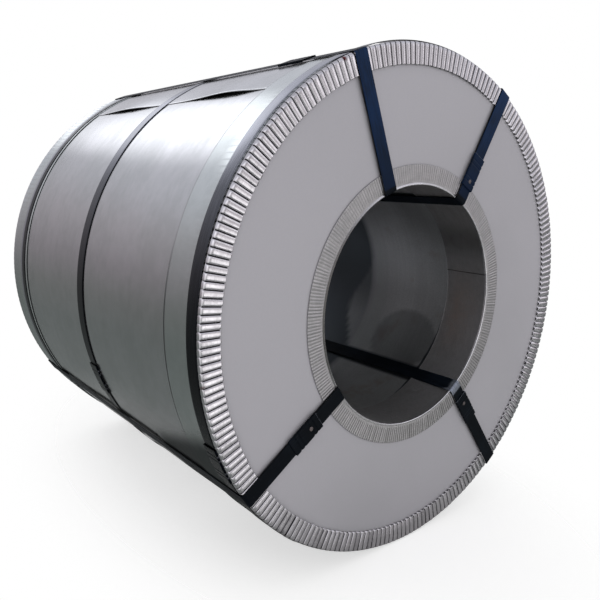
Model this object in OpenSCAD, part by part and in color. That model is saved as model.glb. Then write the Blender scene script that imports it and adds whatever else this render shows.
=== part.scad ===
// Packaged steel coil: wound strip lying on its side, wrapped in sheet, closed at
// both ends by discs and pleated edge guards, and bound by hoop and eye straps.
// The coil's axis lies along Y with the front end towards -Y. Angles around the coil
// are counted clockwise from the top, as seen from the front.

/* [Wound strip] */
// Width of the strip, which is the length of the wound coil
strip_w = 1000; // [700:10:1500]
// Outside diameter of the wound strip
coil_od = 1040; // [900:10:1500]
// Diameter of the coil's eye
bore_d = 508; // [450:1:620]
// Radial spacing of the turn marks on the coil's ends
turn_mark_pitch = 25; // [15:1:60]
// Depth of the turn marks
turn_mark_depth = 0.5; // [0.2:0.1:1]

/* [Outer wrap] */
// Thickness of the wrapping sheet
wrap_t = 0.8; // [0.4:0.1:1.2]
// Angle of the lap's free edge
lap_angle = -35; // [-60:1:-30]
// Width of the lap, measured around the coil
lap_w = 90; // [60:5:120]
// How far the free edge bows open between the front guard and the middle hoop
lap_lift_front = 12; // [0:1:20]
// How far the free edge bows open between the middle hoop and the back guard
lap_lift_back = 6; // [0:1:20]

/* [End discs] */
// Thickness of the end discs
disc_t = 1; // [0.6:0.1:2]

/* [Edge guards] */
// Thickness of the guards' sheet
guard_t = 1; // [0.6:0.1:1.2]
// Length of the outer guards' leg along the coil's outside
outer_leg = 110; // [70:5:180]
// Width of the outer guards' pleated flange on the coil's end
outer_flange = 42; // [30:1:60]
// Height of the outer guards' pleats, sheet included
outer_pleat_h = 5.4; // [4:0.1:7]
// Number of pleats around an outer guard
outer_pleats = 236; // [150:2:260]
// Length of the inner guards' leg inside the eye
inner_leg = 105; // [70:5:180]
// Width of the inner guards' pleated flange on the coil's end
inner_flange = 38; // [30:1:60]
// Height of the inner guards' pleats, sheet included
inner_pleat_h = 3.6; // [3:0.1:5]
// Number of pleats around an inner guard
inner_pleats = 280; // [180:2:300]
// Width of the groove between two pleats of an inner guard
inner_groove_w = 1.8; // [1:0.1:2]
// Width of the groove between two pleats of an outer guard
groove_w = 2.4; // [1.5:0.1:3]
// Radius of the outer guards' corner
corner_r = 4.5; // [2:0.5:5]
// Radius of the bead rolled round the inner guards' lip
lip_bead_r = 1.8; // [1.4:0.1:2.4]

/* [Straps] */
// Width of the straps
strap_w = 32; // [19:1:40]
// Thickness of the straps
strap_t = 1; // [0.6:0.1:1.5]
// Distance from the front end of the coil to the nearer edge of the front hoop
hoop_inset_front = 2; // [2:1:40]
// Distance from the back end of the coil to the nearer edge of the back hoop
hoop_inset_back = 66; // [20:1:75]
// Place of the middle hoop along the coil, counted from mid length towards the front
hoop_middle_y = -5; // [-100:5:100]
// Angle of the upper left eye strap
eye_upper_left = -20; // [-24:1:-10]
// Angle of the upper right eye strap
eye_upper_right = 31.5; // [20:0.5:50]
// Angle of the lower left eye strap
eye_lower_left = -124.5; // [-135:0.5:-123]
// Angle of the lower right eye strap
eye_lower_right = 144; // [130:0.5:155]

/* [Strap seals] */
// Length of the seals along their strap
seal_len = 76; // [50:1:90]
// Thickness of the seals, folded round the strap's lapped ends
seal_t = 2.3; // [1.2:0.1:2.6]
// How far the sides of the eye straps' seals reach below the strap
seal_foot_reach = 1.3; // [0:0.1:2]
// Depth of the crimps pressed across the seals
crimp_depth = 0.7; // [0.1:0.1:1]
// Distance of the upper left strap's seal from the coil's front end, to its middle
seal_upper_left_y = 170; // [160:5:300]
// Distance from the inner guard's edge to the middle of the upper right strap's seal
seal_upper_right_in = 30; // [20:1:130]
// Distance from the inner guard's edge to the middle of the lower left strap's seal
seal_lower_left_in = 68; // [20:1:130]
// Distance from the inner guard's edge to the middle of the lower right strap's seal
seal_lower_right_in = 33; // [20:1:130]
// Angle of the front hoop's seal
seal_hoop_front = -115; // [-116:1:-100]
// Angle of the middle hoop's seal
seal_hoop_middle = -112; // [-115:1:-100]
// Angle of the back hoop's seal
seal_hoop_back = 108; // [90:1:120]

/* [Hidden] */
$fn = 96;

// Clearance between a piece and what it sits on
seat = 0.3;
// Overshoot of a cut past the face that it opens
over = 2;

// Radii from the eye outwards
bore_r = bore_d / 2;
coil_r = coil_od / 2;
leg_out_r = bore_r - seat;
leg_in_r = leg_out_r - guard_t;
lip_r = leg_out_r - 2 * lip_bead_r;
wrap_in_r = coil_r + seat;
wrap_out_r = wrap_in_r + wrap_t;
lap_gap = 0.15;
lap_top_r = wrap_out_r + lap_gap + wrap_t;
guard_in_r = lap_top_r + seat;
guard_out_r = guard_in_r + guard_t;
hoop_end_r = guard_out_r + seat;
hoop_mid_r = lap_top_r + seat;
rest_r = hoop_end_r + strap_t;

// Planes from mid length towards an end
end_z = strip_w / 2;
disc_z = end_z + seat;
flange_z = disc_z + disc_t + seat;
pleat_top_z = flange_z + max(outer_pleat_h, inner_pleat_h);
strap_z = pleat_top_z + seat;

// Edges of the flanges and of the discs beneath them
outer_flange_r = guard_out_r - outer_flange;
inner_flange_r = leg_out_r + inner_flange;
disc_lap = 8;
disc_in_r = leg_out_r + disc_lap;
disc_out_r = guard_in_r - disc_lap;

// Plain band between the outer guards' grooves and their corner
groove_land = 0.5;
// Closed length of the hollow pleats at their outer end
pleat_root = 6;

// Hoops' mid planes
hoop_front_z = end_z - hoop_inset_front - strap_w / 2;
hoop_back_z = hoop_inset_back + strap_w / 2 - end_z;

// Axis of the coil above the floor
axis_h = rest_r;

sheet_grey = [0.66, 0.66, 0.66];
disc_grey = [0.60, 0.60, 0.62];
guard_grey = [0.76, 0.75, 0.75];
steel_grey = [0.32, 0.32, 0.33];
strap_navy = [0.05, 0.08, 0.13];

// Stands the coil's own frame, axis up and front end on top, into the lying pose
module laid() {
    translate([0, 0, axis_h]) rotate([90, 0, 0]) children();
}

// Turns a piece drawn along +X to an angle counted clockwise from the top
module at_angle(angle) {
    rotate([0, 0, 90 - angle]) children();
}

// Swaps front and back
module back_end() {
    mirror([0, 0, 1]) children();
}

module ring(r_in, r_out, z0, z1) {
    rotate_extrude() translate([r_in, z0]) square([r_out - r_in, z1 - z0]);
}

// Outline of radial slots all round: each runs from open_r to end_r with parallel sides
function slot_ring(count, open_r, end_r, width, turn) = [
    for (i = [0 : count - 1])
        let (a = (i + turn) * 360 / count)
            for (corner = [[open_r, -width / 2], [end_r, -width / 2],
                           [end_r, width / 2], [open_r, width / 2]])
                [corner[0] * cos(a) - corner[1] * sin(a), corner[0] * sin(a) + corner[1] * cos(a)]
];

function pitch(r, count) = 2 * PI * r / count;

module coil() {
    marks = floor((coil_r - bore_r - turn_mark_pitch) / turn_mark_pitch);
    color(steel_grey) laid() difference() {
        ring(bore_r, coil_r, -end_z, end_z);
        for (side = [-1, 1])
            for (i = [1 : marks])
                rotate_extrude() translate([bore_r + i * turn_mark_pitch, side * end_z])
                    polygon([[-turn_mark_depth, side], [-turn_mark_depth, 0], [0, -side * turn_mark_depth],
                             [turn_mark_depth, 0], [turn_mark_depth, side]]);
    }
}

// Bow of the lap's free edge at a place along the coil: one arch in each bay between straps
function bow(z) =
    let (front_edge = end_z - outer_leg, middle = hoop_middle_y)
        z >= middle ?
            lap_lift_front * pow(sin(180 * min(1, max(0, (z - middle) / (front_edge - middle)))), 2) :
            lap_lift_back * pow(sin(180 * min(1, max(0, (middle - z) / (middle + front_edge)))), 2);

// Free end of the sheet: lies on the turn beneath it, bows open along its edge and runs
// down into the turn at its root
module lap_flap() {
    rows = 30;
    steps = 6;
    lap_turn = lap_w / wrap_out_r * 180 / PI;
    root_bite = 0.1;
    root_drop = wrap_t + lap_gap - root_bite;
    function under_r(s, z) = wrap_out_r + lap_gap + bow(z) * pow(1 - s, 2) - root_drop * pow(s, 4);
    function spot(s, z, t) =
        let (r = under_r(s, z) + t, a = 90 - lap_angle - s * lap_turn)
            [r * cos(a), r * sin(a), z];
    levels = [for (j = [0 : rows]) -end_z + j * strip_w / rows];
    loop = [for (i = [0 : steps]) [i / steps, 0], for (i = [steps : -1 : 0]) [i / steps, wrap_t]];
    size = len(loop);
    points = [for (z = levels) for (q = loop) spot(q[0], z, q[1])];
    sides = [for (j = [0 : rows - 1]) for (i = [0 : size - 1])
        let (n = (i + 1) % size)
            for (tri = [[j * size + i, (j + 1) * size + i, j * size + n],
                        [j * size + n, (j + 1) * size + i, (j + 1) * size + n]]) tri];
    bottom = [for (i = [0 : steps - 1])
        for (tri = [[i, i + 1, size - 1 - i], [i + 1, size - 2 - i, size - 1 - i]]) tri];
    top = [for (tri = bottom) [for (k = [2 : -1 : 0]) tri[k] + rows * size]];
    polyhedron(points, concat(sides, bottom, top));
}

module outer_wrap() {
    color(sheet_grey) laid() union() {
        ring(wrap_in_r, wrap_out_r, -end_z, end_z);
        lap_flap();
    }
}

module end_disc() {
    color(disc_grey) ring(disc_in_r, disc_out_r, disc_z, disc_z + disc_t);
}

module end_disc_front() {
    laid() end_disc();
}

module end_disc_back() {
    laid() back_end() end_disc();
}

// Ring of hollow pleats round the coil's outer edge, open at their inner mouths, with a plain
// leg along the coil's outside
module outer_guard() {
    top_z = flange_z + outer_pleat_h;
    groove_end_r = guard_out_r - corner_r - groove_land;
    hollow_w = pitch(outer_flange_r, outer_pleats) - groove_w - 2 * guard_t;
    color(guard_grey) difference() {
        rotate_extrude() {
            translate([guard_in_r, end_z - outer_leg])
                square([guard_t, outer_leg + top_z - corner_r - end_z]);
            translate([outer_flange_r, flange_z]) square([outer_flange - corner_r, outer_pleat_h]);
            intersection() {
                translate([outer_flange_r, flange_z]) square([outer_flange, outer_pleat_h]);
                translate([guard_out_r - corner_r, top_z - corner_r]) circle(corner_r);
            }
        }
        translate([0, 0, flange_z + guard_t]) linear_extrude(outer_pleat_h + over)
            polygon(slot_ring(outer_pleats, outer_flange_r - over, groove_end_r, groove_w, 0));
        translate([0, 0, flange_z - over]) linear_extrude(outer_pleat_h - guard_t + over)
            polygon(slot_ring(outer_pleats, outer_flange_r - over, groove_end_r - pleat_root,
                              hollow_w, 0.5));
    }
}

module outer_guard_front() {
    laid() outer_guard();
}

module outer_guard_back() {
    laid() back_end() outer_guard();
}

// Ring of finer pleats round the eye with a rolled lip and a plain leg inside the eye
module inner_guard() {
    slot_end_r = leg_out_r + 2 * lip_bead_r;
    color(guard_grey) difference() {
        rotate_extrude() {
            translate([leg_in_r, end_z - inner_leg])
                square([guard_t, flange_z + guard_t - end_z + inner_leg]);
            translate([leg_in_r, flange_z]) square([inner_flange_r - leg_in_r, inner_pleat_h]);
            translate([lip_r + lip_bead_r, flange_z + inner_pleat_h - lip_bead_r]) circle(lip_bead_r);
        }
        translate([0, 0, flange_z + guard_t]) linear_extrude(inner_pleat_h + over) difference() {
            circle(inner_flange_r + 2 * over);
            polygon(slot_ring(inner_pleats, inner_flange_r + over, slot_end_r, inner_groove_w, 0));
        }
    }
}

module inner_guard_front() {
    laid() inner_guard();
}

module inner_guard_back() {
    laid() back_end() inner_guard();
}

module hoop(r, z) {
    color(strap_navy) laid() ring(r, r + strap_t, z - strap_w / 2, z + strap_w / 2);
}

module hoop_front() {
    hoop(hoop_end_r, hoop_front_z);
}

module hoop_middle() {
    hoop(hoop_mid_r, hoop_middle_y);
}

module hoop_back() {
    hoop(hoop_end_r, hoop_back_z);
}

// Rectangle with rounded corners
module rounded(low, high, r) {
    translate([low[0] + r, low[1]]) square([high[0] - low[0] - 2 * r, high[1] - low[1]]);
    translate([low[0], low[1] + r]) square([high[0] - low[0], high[1] - low[1] - 2 * r]);
    for (x = [low[0] + r, high[0] - r])
        for (y = [low[1] + r, high[1] - r])
            translate([x, y]) circle(r);
}

// Inside of an eye strap's loop: a flat strap keeps its edges clear of the round lip
bend_r = 5;
loop_in_r = sqrt(pow(lip_r - seat, 2) - pow(strap_w / 2, 2));
loop_out_r = rest_r + seat;

// Strap through the eye, over both ends and along the outside, in the plane of one angle
module eye_strap(angle) {
    color(strap_navy) laid() at_angle(angle)
        rotate([90, 0, 0]) translate([0, 0, -strap_w / 2]) linear_extrude(strap_w) difference() {
            rounded([loop_in_r - strap_t, -strap_z - strap_t], [loop_out_r + strap_t, strap_z + strap_t],
                    bend_r + strap_t);
            rounded([loop_in_r, -strap_z], [loop_out_r, strap_z], bend_r);
        }
}

module eye_strap_upper_left() {
    eye_strap(eye_upper_left);
}

module eye_strap_upper_right() {
    eye_strap(eye_upper_right);
}

module eye_strap_lower_left() {
    eye_strap(eye_lower_left);
}

module eye_strap_lower_right() {
    eye_strap(eye_lower_right);
}

// Outer face of a seal above its strap's inner face
seal_top = strap_t + seat + seal_t;
// Feet of the eye straps' seals, kept clear of the inner guard and of the outer guards' leg
foot_room = min(strap_z - flange_z - inner_pleat_h, loop_out_r - guard_out_r) - seat;
seal_foot = max(0, min(seal_foot_reach, foot_room));
// Places of the crimps pressed across a seal, in parts of its length from its middle
crimp_places = [-0.32, -0.19, 0.19, 0.32];
// Width of one crimp along the strap
crimp_w = 4;

// Section of a seal: a channel whose sides hold the strap's edges and reach below it by the
// foot, outwards along X from the strap's inner face and across the strap along Y
module seal_section(foot) {
    half = strap_w / 2 + seat;
    difference() {
        translate([-foot, -half - seal_t]) square([seal_top + foot, 2 * (half + seal_t)]);
        translate([-foot - over, -half]) square([strap_t + seat + foot + over, 2 * half]);
    }
}

// Flat seal on a straight strap: strap along X, its inner face at z = 0
module flat_seal() {
    difference() {
        rotate([0, -90, 0]) linear_extrude(seal_len, center = true) seal_section(seal_foot);
        for (place = crimp_places)
            translate([place * seal_len, 0, seal_top])
                cube([crimp_w, 2 * strap_w, 2 * crimp_depth], center = true);
    }
}

// Curved seal on a hoop of the given inner radius, middle on +X
module hoop_seal(r) {
    turn = seal_len / r * 180 / PI;
    color(strap_navy) difference() {
        rotate([0, 0, -turn / 2]) rotate_extrude(angle = turn, $fn = 720)
            translate([r, 0]) seal_section(0);
        for (place = crimp_places)
            rotate([0, 0, place * turn]) translate([r + seal_top, 0, 0])
                cube([2 * crimp_depth, crimp_w, 2 * strap_w], center = true);
    }
}

// Seal on the front run of an eye strap, its middle at a distance from the inner guard's edge
// and its outer end clear of the outer guard
module end_seal(angle, distance) {
    middle_r = min(inner_flange_r + distance, outer_flange_r - seal_len / 2 - seat);
    color(strap_navy) laid() at_angle(angle) translate([middle_r, 0, strap_z]) flat_seal();
}

module seal_upper_left() {
    color(strap_navy) laid() at_angle(eye_upper_left)
        translate([loop_out_r, 0, end_z - seal_upper_left_y]) rotate([0, 90, 0]) flat_seal();
}

module seal_upper_right() {
    end_seal(eye_upper_right, seal_upper_right_in);
}

module seal_lower_left() {
    end_seal(eye_lower_left, seal_lower_left_in);
}

module seal_lower_right() {
    end_seal(eye_lower_right, seal_lower_right_in);
}

module seal_hoop_front() {
    laid() at_angle(seal_hoop_front) translate([0, 0, hoop_front_z]) hoop_seal(hoop_end_r);
}

module seal_hoop_middle() {
    laid() at_angle(seal_hoop_middle) translate([0, 0, hoop_middle_y]) hoop_seal(hoop_mid_r);
}

module seal_hoop_back() {
    laid() at_angle(seal_hoop_back) translate([0, 0, hoop_back_z]) hoop_seal(hoop_end_r);
}

coil();
outer_wrap();
end_disc_front();
end_disc_back();
outer_guard_front();
outer_guard_back();
inner_guard_front();
inner_guard_back();
hoop_front();
hoop_middle();
hoop_back();
eye_strap_upper_left();
eye_strap_upper_right();
eye_strap_lower_left();
eye_strap_lower_right();
seal_upper_left();
seal_upper_right();
seal_lower_left();
seal_lower_right();
seal_hoop_front();
seal_hoop_middle();
seal_hoop_back();
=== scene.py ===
"""Dressed model of a packaged steel coil that lies on its side, with its studio and camera.

Lengths are in metres. Angles around the coil count clockwise from the top, seen from the front
end, which faces -Y. A distance called depth counts from the coil's mid length towards an end.
"""

import logging
import math
from dataclasses import dataclass
from enum import Enum
from typing import Callable, Optional, Sequence

import bpy
import numpy as np
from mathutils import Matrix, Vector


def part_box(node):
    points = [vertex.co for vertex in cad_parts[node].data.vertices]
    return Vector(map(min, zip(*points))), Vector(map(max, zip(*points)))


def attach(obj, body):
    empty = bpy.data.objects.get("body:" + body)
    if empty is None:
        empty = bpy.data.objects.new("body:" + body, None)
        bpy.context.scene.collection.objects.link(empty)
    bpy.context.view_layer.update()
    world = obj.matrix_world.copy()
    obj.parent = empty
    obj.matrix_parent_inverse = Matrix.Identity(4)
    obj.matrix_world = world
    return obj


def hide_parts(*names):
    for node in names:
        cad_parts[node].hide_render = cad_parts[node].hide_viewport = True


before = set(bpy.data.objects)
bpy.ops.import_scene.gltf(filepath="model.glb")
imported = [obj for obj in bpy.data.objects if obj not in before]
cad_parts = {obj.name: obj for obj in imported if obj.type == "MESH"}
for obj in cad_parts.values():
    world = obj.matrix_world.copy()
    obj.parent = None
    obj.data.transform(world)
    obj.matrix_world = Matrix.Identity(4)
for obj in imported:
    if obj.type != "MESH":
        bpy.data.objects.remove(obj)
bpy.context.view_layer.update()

LOG = logging.getLogger("steel_coil")
MM = 0.001
TURN = 2.0 * math.pi
BODY = "root"

Array = np.ndarray
Colour = tuple[float, float, float]
Span = tuple[float, float]
Ramp = tuple[float, float, float, float]
Place = Callable[[Array, Array, Array], Array]


class End(Enum):
    """The coil's two ends, by the sign of their Y."""

    FRONT = -1
    BACK = 1

    @property
    def word(self) -> str:
        """Name of the end as the pieces use it."""
        return self.name.lower()


class Run(Enum):
    """The runs of an eye strap that carry a seal."""

    FRONT = "front"
    OUTSIDE = "outside"


def axis_height() -> float:
    """Height of the coil's axis above the floor, from the front hoop's box."""
    low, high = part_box("hoop_front")
    return (low.z + high.z) / 2.0


AXIS_H = axis_height()


def polar(radius: Array, angle: Array, y: Array) -> Array:
    """Places points round the coil's axis: x = r sin a and z = axis height + r cos a.

    Args:
        radius: Distances from the axis.
        angle: Angles in radians, clockwise from the top seen from the front.
        y: Places along the axis.

    Returns:
        Points of the broadcast shape with a last axis of 3.
    """
    parts = np.broadcast_arrays(radius * np.sin(angle), y, AXIS_H + radius * np.cos(angle))
    return np.stack(parts, axis=-1)


def smooth(value: Array) -> Array:
    """Eases from 0 to 1 as the value goes from 0 to 1: 3 v squared less 2 v cubed."""
    clipped = np.clip(value, 0.0, 1.0)
    return clipped * clipped * (3.0 - 2.0 * clipped)


def rising(value: Array, start: float | Array, width: float) -> Array:
    """Eases from 0 to 1 as the value climbs from the start over the width."""
    return smooth((value - start) / width)


def falling(value: Array, end: float | Array, width: float) -> Array:
    """Eases from 1 to 0 as the value climbs to the end, over the width before it."""
    return smooth((end - value) / width)


def zone(value: Array, start: float, rise: float, end: float, fall: float) -> Array:
    """Rises from the start over one width and falls to the end over another."""
    return rising(value, start, rise) * falling(value, end, fall)


def turned(angle: Array) -> Array:
    """Angle from the top in degrees, of -180 to 180, clockwise seen from the front."""
    return np.degrees((angle + math.pi) % TURN - math.pi)


def hump(value: Array, middle: float, half: float) -> Array:
    """Rises from 0 to 1 at the middle and falls again: cosine bell of the given half width."""
    return 0.5 + 0.5 * np.cos(np.pi * np.clip((value - middle) / half, -1.0, 1.0))


RIPPLE_ACROSS: Span = (0.3, 2.6)
RIPPLE_WEIGHTS: Span = (0.5, 1.0)
RIPPLE_GAIN = 2.0


def ripple(u: Array, v: Array, seed: int, waves: int, reach: float) -> Array:
    """Soft unevenness of a sheet: twice the weighted mean of sine waves with seeded directions and phases.

    Args:
        u: First surface coordinate, in turns or in lengths of the sheet.
        v: Second surface coordinate.
        seed: Seed of the waves.
        waves: Number of waves.
        reach: Highest wave number along u.

    Returns:
        Values of about -1 to 1.
    """
    draw = np.random.default_rng(seed)
    along = draw.integers(0, int(reach) + 1, waves)
    across = draw.uniform(*RIPPLE_ACROSS, waves)
    phase = draw.uniform(0.0, TURN, waves)
    weight = draw.uniform(*RIPPLE_WEIGHTS, waves)
    waved = np.sin(TURN * (u[..., None] * along + v[..., None] * across) + phase) * weight
    return waved.sum(axis=-1) / weight.sum() * RIPPLE_GAIN


@dataclass(frozen=True)
class FootGrime:
    """Darkening low down on the left of the outside, near the front end."""

    most: float = 0.9
    start: float = 170.0 * MM
    fade: float = 70.0 * MM
    edge: float = 115.5
    climb: float = 40.0
    pivot: float = 240.0 * MM
    soft: float = 6.5
    under: float = 178.0
    under_soft: float = 20.0

    def over(self, angle: Array, y: Array) -> Array:
        """How dark the outside is made.

        Args:
            angle: Angles round the coil.
            y: Places along the axis.

        Returns:
            Values of 0 to 0.9: full below a soft edge that climbs towards the end, and none underneath.
        """
        down = -turned(angle)
        below = rising(down, self.edge + self.climb * (y + self.pivot), self.soft)
        return (self.most * rising(-y, self.start, self.fade) * below
                * falling(down, self.under, self.under_soft))


@dataclass(frozen=True)
class RingSpan:
    """Radii about the coil's axis, and reach along it, of one node of the solid model."""

    r_in: float
    r_out: float
    y_low: float
    y_high: float

    @classmethod
    def of(cls, node: str) -> "RingSpan":
        """Measures a node's mesh.

        Args:
            node: Name of the node.

        Returns:
            The span of its points.
        """
        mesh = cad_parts[node].data
        points = np.empty(len(mesh.vertices) * 3)
        mesh.vertices.foreach_get("co", points)
        points = points.reshape(-1, 3)
        radius = np.hypot(points[:, 0], points[:, 2] - AXIS_H)
        return cls(radius.min(), radius.max(), points[:, 1].min(), points[:, 1].max())


class PieceMesh:
    """Gathers grids of points into one mesh, with a surface map in metres and shades per point."""

    # The cavity shade darkens, for painted shade, painted reflection and dirt; the other lightens or stains,
    # for wear, stains and painted sheen.
    SHADES = ("cavity", "bare")

    def __init__(self, name: str) -> None:
        """Starts an empty piece.

        Args:
            name: Name of the piece.
        """
        self.name = name
        self.points: list[Array] = []
        self.faces: list[Array] = []
        self.maps: list[Array] = []
        self.slots: list[Array] = []
        self.shades: dict[str, list[Array]] = {shade: [] for shade in self.SHADES}
        self.count = 0

    def grid(self, points: Array, uv: Optional[tuple[Array, Array]] = None, *, close_rows: bool = False,
             close_cols: bool = False, flip: bool = False, slot: int | Array = 0, **shades: Array) -> Array:
        """Adds a grid of quads, whose normal is the row direction times the column direction.

        Args:
            points: Rows by columns of points.
            uv: Surface coordinates of the rows and of the columns, with one more where they close.
            close_rows: Whether the last row joins the first.
            close_cols: Whether the last column joins the first.
            flip: Whether the faces turn round.
            slot: Material slot of the faces, or one for each row of them.
            shades: Values per point of the named shades.

        Returns:
            The points' indices, rows by columns, as they close.
        """
        rows, cols = points.shape[:2]
        index = self.count + np.arange(rows * cols).reshape(rows, cols)
        if close_rows:
            index = np.vstack([index, index[:1]])
        if close_cols:
            index = np.hstack([index, index[:, :1]])
        along, across = uv or (np.zeros(index.shape[0]), np.zeros(index.shape[1]))
        along, across = np.broadcast_arrays(np.reshape(along, (index.shape[0], -1)), across)
        self._quads(index, np.stack([along, across], axis=-1), flip, slot)
        self.points.append(points.reshape(-1, 3))
        for shade, gathered in self.shades.items():
            value = shades.get(shade, np.zeros(1))
            gathered.append(np.broadcast_to(value, (rows, cols)).reshape(-1))
        self.count += rows * cols
        return index

    def cap(self, loop: Array, flip: bool = False, slot: int = 0) -> None:
        """Closes a thin loop: its first half is joined to its second half, read backwards.

        Args:
            loop: Indices round the loop, an even number of them.
            flip: Whether the faces turn round.
            slot: Material slot of the faces.
        """
        half = len(loop) // 2
        index = np.stack([loop[:half], loop[half:][::-1]], axis=1)
        self._quads(index, np.zeros(index.shape + (2,)), flip, slot)

    def _quads(self, index: Array, uv: Array, flip: bool, slot: int | Array) -> None:
        """Stores the quads of a grid of indices with their surface coordinates."""
        order = [(slice(None, -1), slice(None, -1)), (slice(1, None), slice(None, -1)),
                 (slice(1, None), slice(1, None)), (slice(None, -1), slice(1, None))]
        if flip:
            order = order[::-1]
        quads = np.stack([index[corner] for corner in order], axis=-1).reshape(-1, 4)
        self.faces.append(quads)
        self.maps.append(np.stack([uv[corner] for corner in order], axis=-2).reshape(-1, 2))
        rows = np.broadcast_to(np.reshape(slot, (-1, 1)), (index.shape[0] - 1, index.shape[1] - 1))
        self.slots.append(rows.reshape(-1))

    def build(self, finishes: Sequence["Finish"], slot: str, replaced: Sequence[str] = (), *,
              thickness: float = 0.0, inside: int = 0, sharp: float = 40.0) -> bpy.types.Object:
        """Makes the piece's object, dresses it and fixes it to the coil.

        Args:
            finishes: Finishes of the material slots, in order.
            slot: The record's material slot. It is not used.
            replaced: Nodes that the piece stands for.
            thickness: Thickness of a sheet whose outer face the grids give, or 0 for a closed shape.
            inside: Steps in the list of finishes from the outer face's to the inner face's.
            sharp: Edges that fold by more than this many degrees stay sharp.

        Returns:
            The object, which sits at the origin.
        """
        mesh = bpy.data.meshes.new(self.name)
        points = np.concatenate(self.points)
        faces = np.concatenate(self.faces)
        mesh.vertices.add(len(points))
        mesh.vertices.foreach_set("co", points.astype(np.float32).ravel())
        mesh.loops.add(faces.size)
        mesh.loops.foreach_set("vertex_index", faces.astype(np.int32).ravel())
        mesh.polygons.add(len(faces))
        mesh.polygons.foreach_set("loop_start", np.arange(0, faces.size, 4, dtype=np.int32))
        mesh.polygons.foreach_set("material_index", np.concatenate(self.slots).astype(np.int32))
        mesh.polygons.foreach_set("use_smooth", np.ones(len(faces), dtype=bool))
        layer = mesh.uv_layers.new(name="Surface")
        layer.data.foreach_set("uv", np.concatenate(self.maps).astype(np.float32).ravel())
        for shade, gathered in self.shades.items():
            layer = mesh.attributes.new(shade, "FLOAT", "POINT")
            layer.data.foreach_set("value", np.concatenate(gathered).astype(np.float32))
        mesh.update(calc_edges=True)
        mesh.set_sharp_from_angle(angle=math.radians(sharp))
        piece = bpy.data.objects.new(self.name, mesh)
        bpy.context.scene.collection.objects.link(piece)
        for finish in finishes:
            mesh.materials.append(finish.material())
        if thickness:
            wall = piece.modifiers.new("wall", "SOLIDIFY")
            wall.thickness = thickness
            wall.offset = -1.0
            wall.material_offset = inside
        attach(piece, BODY)
        if replaced:
            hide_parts(*replaced)
        LOG.info("%s: %d points, %d faces", self.name, len(points), len(faces))
        return piece


@dataclass(frozen=True)
class Pattern:
    """A noise pattern, in space at one scale per metre or on the surface at one scale each way."""

    along: float
    across: Optional[float] = None
    detail: float = 3.0
    rough: float = 0.5


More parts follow.
